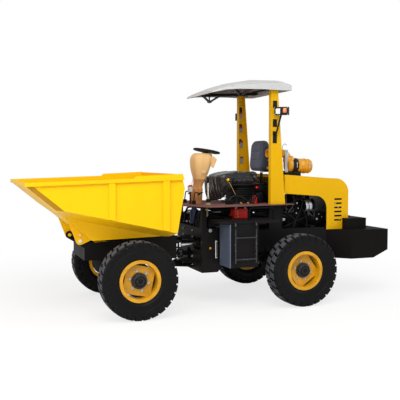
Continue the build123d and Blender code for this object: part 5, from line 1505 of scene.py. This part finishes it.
# ---- canopy
@dataclass
class Canopy:
    """Posts, angle-iron frame, moulded roof and work lamps."""

    post_x: float = -1.750
    post_half: float = 0.508
    inner_face: float = -0.4998
    brace_x: float = -1.343
    lamp_turn: float = 48.0
    lamp_z: float = 2.324

    def build(self, soft: Softened) -> None:
        """Make every piece of the canopy."""
        soft.dress("posts", DEEP_YELLOW, width=0.004, segments=3)
        soft.dress("roof_frame", BLACK_PAINT, width=0.002)

        def lining(face: Face) -> int:
            """Second finish for the faces that look down."""
            return 1 if face.normal.z < -0.35 else 0
        soft.dress("roof", ROOF_WHITE, width=0.004, over=40.0, segments=3, tint=lining,
                   extra=[ROOF_LINING])
        self.beads()
        self.bolts()
        self.plates()
        self.slot_shade_fills()
        self.braces()
        self.lamps()

    def beads(self) -> None:
        """Raised rain bead along both sides of the roof."""
        stations = ((-1.015, 0.438, 2.547), (-1.150, 0.530, 2.592), (-1.320, 0.558, 2.628),
                    (-1.620, 0.562, 2.666), (-1.880, 0.560, 2.676), (-2.005, 0.548, 2.640))
        for side, word in SIDES:
            hose(f"roof_bead_{word}", [(x, side * (y - 0.001), z) for x, y, z in stations],
                 0.005, ROOF_WHITE)

    def bolts(self) -> None:
        """Bolts at the posts' feet and heads."""
        built_piece("post_bolts", ZINC, hexes=[
            ((x, side * y, z), UP, radius, high) for side in (-1, 1)
            for x, y, z, radius, high in (
                (-1.790, 0.486, 1.2078, 0.011, 0.010), (-1.905, 0.486, 1.2078, 0.011, 0.010),
                (-1.775, 0.480, 2.610, 0.009, 0.008), (-1.822, 0.480, 2.610, 0.009, 0.008))])

    def plates(self) -> None:
        """Blank plates inboard of the right-hand post, each below a red header."""
        rows = (
            # X, Z, height
            (-1.800, 2.344, 0.092), (-1.806, 2.151, 0.086), (-1.814, 1.949, 0.098),
            (-1.820, 1.741, 0.094),
        )
        face = self.inner_face
        for index, (x, z, high) in enumerate(rows):
            for name, finish, thick, foot, head in (
                    ("blank_plate", PLATE_GREY, 0.0038, z - high / 2, z + high / 2 - 0.026),
                    ("plate_header", PLATE_RED, 0.004, z + high / 2 - 0.025, z + high / 2)):
                built_piece(f"{name}_{index}", finish, boxes=[
                    ((x - 0.023, face, foot), (x + 0.023, face + thick, head), 0.0008)])

    def slot_shade_fills(self) -> None:
        """Black fills with their rims in the slots of both posts, as painted shade for the
        slots' dark insides.
        """
        x = self.post_x
        for side, word in SIDES:
            inner, outer = side * (self.post_half - 0.002), side * (self.post_half + 0.001)
            # Painted shade: black blocks in the slots in place of the posts' shaded insides.
            built_piece(f"slot_shade_fills_{word}", BLACK_PLASTIC, boxes=[
                row for z, half in ((2.410, 0.040), (2.185, 0.042), (1.985, 0.038)) for row in (
                    ((x - 0.0735, inner - 0.004, z - half + 0.002),
                     (x - 0.0305, inner + 0.0035, z + half - 0.002), 0.0015),
                    ((x - 0.080, outer - 0.0015, z - half - 0.005),
                     (x - 0.024, outer + 0.0015, z + half + 0.005), 0.001))])

    def braces(self) -> None:
        """Angle irons below the roof's bars, with the hanging brace on the right."""
        x = self.brace_x
        irons = [((-1.570, 0, 2.562), (end, side * 0.490, 2.598), 0.020, None, 4)
                 for side in (-1, 1) for end in (-1.255, -1.515)]
        irons += [((start, 0, z), (x, -0.485, 2.503), 0.016, None, 4)
                  for start, z in ((-1.060, 2.535), (-1.300, 2.547))]
        irons.append(((x, -0.485, 2.500), (x, -0.490, 2.592), 0.010, None, 4))
        built_piece("roof_braces", BLACK_PAINT, sharp=20, rods=irons, boxes=[
            ((x - 0.029, -0.492, 2.494), (x + 0.029, -0.478, 2.512), 0.002)])

    def lamps(self) -> None:
        """Lenses, bezels and screws of both lamps, made square on and turned outwards."""
        for side, word in SIDES:
            at = Matrix.Translation((ahead(self.post_x - 0.094),
                                     side * (self.post_half + 0.097), self.lamp_z)) \
                @ Matrix.Rotation(side * math.radians(self.lamp_turn), 4, "Z")
            clear, amber = band(side, -0.069, -0.014), band(side, 0.020, 0.067)
            bars = [((0.027, y - 0.0045, -0.047), (0.0385, y + 0.0045, 0.047), 0.002)
                    for y in (-0.079, 0.003 * side, 0.079)]
            bars += [((0.027, -0.083, z - 0.0045), (0.0385, 0.083, z + 0.0045), 0.002)
                     for z in (-0.0435, 0.0435)]
            for name, finish, boxes in (
                    ("lens", LENS_CLEAR, [((0.0225, clear[0], -0.036),
                                           (0.0315, clear[1], 0.030), 0.004)]),
                    ("amber", LENS_AMBER, [((0.0225, amber[0], -0.022),
                                            (0.0315, amber[1], 0.036), 0.004)]),
                    ("bezel", BLACK_PLASTIC, [((0.0215, -0.0755, -0.0395),
                                               (0.0275, 0.0755, 0.0395), 0.002), *bars]),
                    ("screws", ALLOY, [])):
                bm = bmesh.new()
                for row in boxes:
                    add_box(bm, *row)
                if not boxes:
                    for y, z in product((-0.079, 0.079), (-0.042, 0.042)):
                        add_rod(bm, (0.038, y, z), (0.0405, y, z), 0.0035, sides=8)
                bmesh.ops.transform(bm, matrix=at, verts=bm.verts)
                make_piece(f"lamp_{name}_{word}", bm, finish)


# ---- engine bay
@dataclass
class EngineBay:
    """Hood, engine dressing, radiator fins, air cleaner and ballast bolts."""

    baffle_y: float = 0.4455
    cleaner_x: float = -2.240
    cleaner_y: float = 0.300
    cleaner_z: float = 1.668
    can_radius: float = 0.090
    bend_z: float = 1.754
    mouth_z: float = 1.822
    bulkhead_x: float = -1.866
    block_side: float = 0.1495
    bracket_y: float = 0.316
    alternator_y: float = 0.330
    alternator_z: float = 1.160
    belt_x: float = -2.500

    def hood(self, soft: Softened) -> None:
        """Hood with rolled edges, and the clipped baffles behind its vents."""
        soft.dress("hood", DEEP_YELLOW, width=0.0016, over=35.0)
        baffles, clips = [], []
        for side in (-1, 1):
            y = side * self.baffle_y
            baffles.append(((-2.815, y - 0.002, 0.930), (-2.630, y + 0.002, 1.270)))
            y = side * (self.baffle_y + 0.005)
            clips += [((x - 0.010, y - 0.003, z - 0.008), (x + 0.010, y + 0.003, z + 0.008),
                       0.001) for x, z in ((-2.700, 1.190), (-2.745, 1.143), (-2.690, 1.100),
                                           (-2.738, 1.052), (-2.765, 0.985))]
        built_piece("vent_baffles", BLACK_PAINT, boxes=baffles)
        built_piece("baffle_clips", PALE_STEEL, boxes=clips)

    def air_cleaner(self) -> None:
        """Beaded canister with its strap, stand and clamps."""
        line = Matrix.Rotation(math.radians(-2.5), 3, "Y") @ Vector(FORWARD)
        start = Vector((self.cleaner_x, self.cleaner_y, self.cleaner_z)) - line * 0.170
        y, can = self.cleaner_y, self.can_radius
        built_piece("air_cleaner_can", OCHRE, replaces=["air_cleaner"], turned=[
            ([(0.0, 0.0), (0.0, 0.070), (0.005, 0.080), (0.022, 0.083), (0.024, can),
              (0.030, 0.0925), (0.036, can), (0.076, can), (0.079, 0.095), (0.083, 0.096),
              (0.097, 0.096), (0.101, 0.095), (0.104, can), (0.158, can), (0.162, 0.0925),
              (0.168, can), (0.296, can), (0.302, 0.0925), (0.308, can), (0.330, 0.086),
              (0.338, 0.076), (0.339, 0.0)], start, line, 56)])
        built_piece("air_cleaner_stand", BLACK_PLASTIC, turned=[
            ([(0.204, 0.0898), (0.204, 0.0945), (0.210, 0.0962), (0.272, 0.0962),
              (0.278, 0.0945), (0.278, 0.0898)], start, line, 56)
        ], boxes=[((-2.170, y - 0.050, 1.539), (-2.052, y + 0.050, 1.605), 0.004),
                  ((-2.252, y - 0.058, 1.540), (-2.142, y + 0.058, 1.600), 0.004)])
        spots = [start + line * at for at in (0.052, 0.232)]
        built_piece("air_cleaner_clamps", ALLOY, rods=[
            ((spot.x, y + 0.093, spot.z + 0.026), (spot.x, y + 0.093, spot.z - 0.026), 0.006)
            for spot in spots
        ], hexes=[((spot.x, y + 0.093, spot.z + 0.026), UP, 0.010, 0.010) for spot in spots])

    def intake_bend(self) -> None:
        """Intake bend, from the canister up and forward to its hollow mouth."""
        y, z = self.cleaner_y, self.mouth_z
        bm = bmesh.new()
        foot = bmesh.ops.create_circle(bm, radius=0.0495, segments=28)["verts"]
        bmesh.ops.translate(bm, verts=foot, vec=(ahead(-2.085), y, 1.700))
        riser, ring = extruded(bm, list({e for v in foot for e in v.link_edges}))
        bmesh.ops.translate(bm, verts=riser, vec=(0, 0, self.bend_z - 1.700))
        bend = bmesh.ops.spin(bm, geom=riser + ring, cent=(ahead(-2.017), y, self.bend_z),
                              axis=LEFT, angle=math.pi / 2, steps=12)
        mouth, ring = extruded(bm, [g for g in bend["geom_last"]
                                    if isinstance(g, Edge)])
        bmesh.ops.translate(bm, verts=mouth, vec=(0.216, 0, 0))
        bmesh.ops.contextual_create(bm, geom=foot)
        lip, ring = extruded(bm, ring)
        for v in lip:
            v.co.y = y + (v.co.y - y) * 0.86
            v.co.z = z + (v.co.z - z) * 0.86
        throat, ring = extruded(bm, ring)
        bmesh.ops.translate(bm, verts=throat, vec=(-0.05, 0, 0))
        bmesh.ops.contextual_create(bm, geom=throat)
        add_turned(bm, [(0.0, 0.040), (0.0, 0.074), (0.030, 0.074), (0.044, 0.068),
                        (0.056, 0.0515), (0.070, 0.0515)], (ahead(-2.108), y, 1.722), UP,
                   steps=36)
        for x in (-1.990, -1.905, -1.826):
            add_turned(bm, [(0.0, 0.048), (0.0, 0.053), (0.012, 0.053), (0.012, 0.048)],
                       (ahead(x), y, z), FORWARD, steps=30)
        make_piece("air_cleaner_elbow", bm, OCHRE, sharp=45)

    def bracket(self) -> None:
        """Bolted plate beside the bend, and the restriction gauge's line."""
        y = self.cleaner_y
        built_piece("air_cleaner_plate", ALLOY, boxes=[
            ((-2.070, y + 0.0525, 1.585), (-2.026, y + 0.0565, 1.868), 0.0015)
        ], hexes=[((-2.048, y + 0.056, z), LEFT, 0.009, 0.007)
                  for z in (1.640, 1.740, 1.845)])
        hose("restriction_line", [(-2.015, y, 1.870), (-2.010, y, 1.900), (-2.035, y, 1.935),
                                  (-2.060, y, 1.946), (-2.078, y, 1.922)], 0.003, HOSE_BLACK)

    def breather(self) -> None:
        """Tank breather with its brass fittings, and the bolted engine bulkhead."""
        built_piece("tank_breather", BLACK_PLASTIC, boxes=[
            ((-1.935, 0.030, 1.588), (-1.835, 0.180, 1.700), 0.008),
            ((-1.920, 0.060, 1.700), (-1.850, 0.165, 1.790), 0.008),
        ], rods=[((-1.885, 0.110, 1.790), (-1.885, 0.110, 1.850), 0.030, 0.026)])
        ports = ((-1.862, 0.179, 1.640), (-1.905, 0.179, 1.672), (-1.866, 0.164, 1.738),
                 (-1.902, 0.164, 1.770))
        built_piece("breather_fittings", BRASS, rods=[
            ((x, y, z), (x, y + 0.018, z), 0.011) for x, y, z in ports
        ], hexes=[((x, y + 0.016, z), LEFT, 0.014, 0.011) for x, y, z in ports], turned=[
            ([(0.0, 0.0), (0.0, 0.028), (0.012, 0.030), (0.022, 0.022), (0.028, 0.0)],
             (-1.885, 0.110, 1.850), UP, 20)])
        built_piece("engine_bulkhead", BLACK_PAINT, boxes=[
            ((self.bulkhead_x - 0.014, -0.430, 1.2005), (self.bulkhead_x, 0.430, 1.470), 0.002)
        ], hexes=[((self.bulkhead_x, y, z), FORWARD, 0.010, 0.007)
                  for y, z in product((-0.390, -0.130, 0.130, 0.390), (1.235, 1.440))])

    def engine(self) -> None:
        """Block bolts, injection pump with its pipes, brackets and bleed fitting."""
        side = self.block_side
        built_piece("engine_bolts", ZINC, hexes=[
            *(((-2.425 + 0.105 * i, y, 1.2895), UP, 0.008, 0.008)
              for i in range(5) for y in (-0.078, 0.063)),
            *(((-2.440 + 0.088 * i, side, z), LEFT, radius, high)
              for i in range(6) for z, radius, high in ((1.115, 0.010, 0.009),
                                                        (0.850, 0.009, 0.008)))])
        for i in range(4):
            x = -2.380 + 0.110 * i
            hose(f"injector_pipe_{i}",
                 [(x, 0.090, 1.235), (x, 0.120, 1.300), (x + 0.02, 0.190, 1.270),
                  (x + 0.03, 0.215, 1.150), (-2.180 + 0.03 * i, 0.200, 1.060)], 0.0038, ZINC)
        built_piece("injection_pump", ENGINE_GREY, boxes=[
            ((-2.260, 0.150, 0.985), (-2.060, 0.226, 1.070), 0.008)
        ], rods=[((-2.160, 0.188, 0.930), (-2.160, 0.188, 0.990), 0.034),
                 ((-2.160, 0.188, 0.860), (-2.160, 0.188, 0.930), 0.040, 0.038)])
        built_piece("bleed_fitting", ALLOY, turned=[
            ([(0.0, 0.0), (0.0, 0.020), (0.008, 0.024), (0.020, 0.022), (0.026, 0.012),
              (0.036, 0.010), (0.036, 0.0)], (-2.012, 0.335, 0.990), (0.2, 1, 0.1), 20)])
        near, far = self.bracket_y, self.bracket_y + 0.006
        built_piece("bay_brackets", BAY_BLACK, boxes=[
            ((-2.610, near, 0.925), (-2.480, far, 1.085), 0.002),
            ((-2.250, near, 1.020), (-2.180, far, 1.225), 0.002)])
        bolts = ((-2.507, 0.984, 0.014), (-2.535, 1.047, 0.009), (-2.580, 1.007, 0.008),
                 (-2.214, 1.196, 0.011), (-2.206, 1.069, 0.008), (-2.232, 1.130, 0.008))
        built_piece("bay_bolts", ALLOY, rods=[
            ((x, far, z), (x, far + 0.005, z), size * 1.1) for x, z, size in bolts
        ], hexes=[((x, far + 0.004, z), LEFT, size * 0.85, 0.009) for x, z, size in bolts])

    def belt_drive(self) -> None:
        """Alternator's end rings and fins, and the fan belt's two runs."""
        y, z = self.alternator_y, self.alternator_z
        bm = bmesh.new()
        for x in (-2.396, -2.346):
            add_turned(bm, [(0.0, 0.060), (0.0, 0.0695), (0.004, 0.0725), (0.032, 0.0725),
                            (0.036, 0.0695), (0.036, 0.060)], (ahead(x), y, z), FORWARD,
                       steps=48)
        for i in range(18):
            fin = add_box(bm, (ahead(-2.360), -0.0035, 0.067), (ahead(-2.344), 0.0035, 0.0705))
            turn_about(bm, fin, math.tau * i / 18, "X")
            bmesh.ops.translate(bm, verts=fin, vec=(0, y, z))
        make_piece("alternator_case", bm, ALLOY)
        built_piece("fan_belt", HOSE_BLACK, rods=[
            ((self.belt_x, side * 0.082, 0.900), (self.belt_x, side * 0.055, 1.120), 0.006,
             None, 8) for side in (-1, 1)])

    def lines(self) -> None:
        """Cables, wires and hoses about the engine."""
        for name, radius, finish, points in (
                ("starter_cable", 0.006, HOSE_BLACK, [
                    (-1.480, 0.400, 1.104), (-1.620, 0.430, 1.080), (-1.900, 0.420, 1.030),
                    (-2.090, 0.300, 0.960), (-2.180, 0.190, 0.930)]),
                ("coolant_hose_low", 0.024, HOSE_BLACK, [
                    (-2.655, 0.260, 0.990), (-2.560, 0.270, 0.980), (-2.500, 0.220, 0.985),
                    (-2.460, 0.150, 1.000)]),
                ("coolant_hose_high", 0.024, HOSE_BLACK, [
                    (-2.655, -0.150, 1.310), (-2.580, -0.150, 1.330), (-2.500, -0.110, 1.300),
                    (-2.455, -0.060, 1.210)]),
                ("fuel_line", 0.005, HOSE_BLACK, [
                    (-1.980, 0.410, 0.905), (-2.120, 0.400, 0.960), (-2.300, 0.360, 1.010),
                    (-2.440, 0.280, 1.030)]),
                ("sender_wire", 0.004, BLACK_PLASTIC, [
                    (-2.110, 0.420, 0.905), (-2.150, 0.425, 1.010), (-2.232, 0.410, 1.110),
                    (-2.270, 0.380, 1.230)]),
                ("charge_wire", 0.0045, BLACK_PLASTIC, [
                    (-2.262, 0.400, 1.120), (-2.290, 0.415, 1.040), (-2.310, 0.425, 0.950),
                    (-2.300, 0.420, 0.900)]),
                ("return_line", 0.0055, BLACK_PLASTIC, [
                    (-2.020, 0.430, 1.080), (-2.090, 0.440, 1.035), (-2.150, 0.430, 0.960),
                    (-2.120, 0.420, 0.900)]),
                ("wiring_loom", 0.009, BLACK_PLASTIC, [
                    (-1.990, 0.300, 1.100), (-2.150, 0.350, 1.230), (-2.320, 0.340, 1.270),
                    (-2.420, 0.330, 1.210)]),
                ("intake_hose", 0.032, HOSE_BLACK, [
                    (-2.290, 0.165, 1.185), (-2.290, 0.190, 1.330), (-2.300, 0.240, 1.440),
                    (-2.300, 0.280, 1.520)])):
            hose(name, points, radius, finish)

    def radiator(self) -> None:
        """Core fins, tank seams and the red reservoir cap."""
        fins = [((-2.664, -0.3232 + 0.015 * i, 0.958), (-2.659, -0.3208 + 0.015 * i, 1.337))
                for i in range(44)]
        seams = [((-2.720, -0.328, 0.987 + 0.041 * i), (-2.7165, 0.328, 0.993 + 0.041 * i))
                 for i in range(9)]
        built_piece("radiator_fins", ALLOY, boxes=fins + seams)
        built_piece("radiator_cap", RED_PLASTIC, turned=[
            ([(0.0, 0.0), (0.0, 0.029), (0.018, 0.028), (0.022, 0.022), (0.022, 0.0)],
             (-2.690, 0.180, 1.4075), UP, 24)])

    def ballast(self) -> None:
        """Sunk bolts on the counterweight's upper block."""
        built_piece("ballast_bolts", BLACK_IRON, hexes=[
            ((x, y, 0.9995), UP, 0.016, 0.010)
            for x, y in product((-2.860, -3.030), (-0.260, 0.260))])

    def build(self, soft: Softened) -> None:
        """Make every piece at the engine."""
        self.hood(soft)
        self.air_cleaner()
        self.intake_bend()
        self.bracket()
        self.breather()
        self.engine()
        self.belt_drive()
        self.lines()
        self.radiator()
        self.ballast()


# ---- light and camera
@dataclass
class Studio:
    """Floor, world, lamps and camera."""

    camera_at: Point = (3.0015, 7.751, 1.719)
    yaw: float = 20.83
    pitch: float = 3.3
    lens: float = 59.86
    floor_half: float = 60.0
    shadow_reach: Pair = (2.2, 5.5)
    world_strength: float = 0.62

    def floor(self) -> None:
        """Wide plain floor that keeps the machine's shadow and fades to white."""
        bm = bmesh.new()
        bmesh.ops.create_grid(bm, x_segments=4, y_segments=4, size=self.floor_half)
        mesh = bpy.data.meshes.new("studio_floor")
        bm.to_mesh(mesh)
        bm.free()
        made = bpy.data.objects.new("studio_floor", mesh)
        bpy.context.scene.collection.objects.link(made)
        plain = bpy.data.materials.new("studio_floor")
        plain.use_nodes = True
        tree = plain.node_tree
        shader = tree.nodes["Principled BSDF"]
        for socket, value in (("Base Color", (*tone(236, 236, 236), 1.0)), ("Roughness", 0.95),
                              ("Specular IOR Level", 0.0)):
            shader.inputs[socket].default_value = value
        where = add_node(tree, "TexCoord", {}).outputs["Object"]
        reach = add_node(tree, "VectorMath", {0: where}, operation="LENGTH").outputs["Value"]
        near, far = self.shadow_reach
        fade = add_node(tree, "MapRange", {"Value": reach, "From Min": near, "From Max": far,
                                           "To Min": 0.74, "To Max": 1.0},
                        interpolation_type="SMOOTHSTEP").outputs["Result"]
        seen = add_node(tree, "LightPath", {}).outputs["Is Camera Ray"]
        bright = add_node(tree, "Emission", {"Strength": 1.0}).outputs[0]
        mix = add_node(tree, "MixShader", {0: add_maths(tree, "MULTIPLY", seen, fade),
                                           1: shader.outputs[0], 2: bright})
        tree.links.new(mix.outputs[0], tree.nodes["Material Output"].inputs["Surface"])
        mesh.materials.append(plain)

    def world(self) -> None:
        """Even pale world, pure white where it is seen directly or through glass."""
        world = bpy.data.worlds.new("studio")
        bpy.context.scene.world = world
        world.use_nodes = True
        tree = world.node_tree
        white = (1.0, 1.0, 1.0, 1.0)
        fill = tree.nodes["Background"]
        fill.inputs["Color"].default_value = white
        fill.inputs["Strength"].default_value = self.world_strength
        seen = add_node(tree, "Background", {"Color": white, "Strength": 1.0})
        path = add_node(tree, "LightPath", {}).outputs
        either = add_maths(tree, "MAXIMUM", path["Is Camera Ray"], path["Is Transmission Ray"])
        mix = add_node(tree, "MixShader", {0: either, 1: fill.outputs[0], 2: seen.outputs[0]})
        tree.links.new(mix.outputs[0], tree.nodes["World Output"].inputs["Surface"])

    def lamp(self, name: str, at: Point, target: Point, size: float, power: float) -> None:
        """Large soft lamp aimed at a point.

        Args:
            name: the lamp's name.
            at: where it hangs.
            target: the point that it faces.
            size: length of its side.
            power: its power in watts.
        """
        data = bpy.data.lights.new(name, "AREA")
        data.shape = "SQUARE"
        data.size = size
        data.energy = power
        made = bpy.data.objects.new(name, data)
        made.location = at
        made.rotation_euler = (Vector(target) - Vector(at)).to_track_quat("-Z", "Y").to_euler()
        bpy.context.scene.collection.objects.link(made)

    def camera(self) -> None:
        """Camera from the machine's left and front."""
        data = bpy.data.cameras.new("camera")
        data.lens = self.lens
        data.sensor_width = 36.0
        data.clip_end = 300.0
        made = bpy.data.objects.new("camera", data)
        made.location = self.camera_at
        yaw, pitch = math.radians(self.yaw), math.radians(self.pitch)
        aim = Vector((-math.sin(yaw) * math.cos(pitch), -math.cos(yaw) * math.cos(pitch),
                      -math.sin(pitch)))
        made.rotation_euler = aim.to_track_quat("-Z", "Y").to_euler()
        bpy.context.scene.collection.objects.link(made)
        bpy.context.scene.camera = made

    def build(self) -> None:
        """Set up the whole studio."""
        self.floor()
        self.world()
        self.lamp("key", (2.6, 7.0, 8.5), (0.6, 0.0, 0.8), 6.0, 620.0)
        self.lamp("front_fill", (7.0, 5.0, 4.0), (1.6, 0.0, 0.9), 5.0, 250.0)
        self.lamp("rear_fill", (-7.0, 2.5, 5.0), (-1.0, 0.0, 1.0), 5.0, 160.0)
        self.camera()
        bpy.context.scene.view_settings.view_transform = "Standard"


def main() -> None:
    """Load the frame, build every sub-assembly and set up the studio."""
    logging.basicConfig(level=logging.INFO, format="%(name)s %(message)s")
    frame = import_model()
    nodes = frame["nodes"]
    finish_nodes(nodes)
    soft = Softened(nodes)
    for name, x, side in (("front_left", FRONT_AXLE_X, 1), ("front_right", FRONT_AXLE_X, -1),
                          ("rear_left", REAR_AXLE_X, 1), ("rear_right", REAR_AXLE_X, -1)):
        Wheel(name, x, side).build()
    Skip().build(soft)
    Chassis().build(soft)
    DriverPlace().build(soft)
    Canopy().build(soft)
    EngineBay().build(soft)
    Studio().build()


if __name__ == "__main__":
    main()
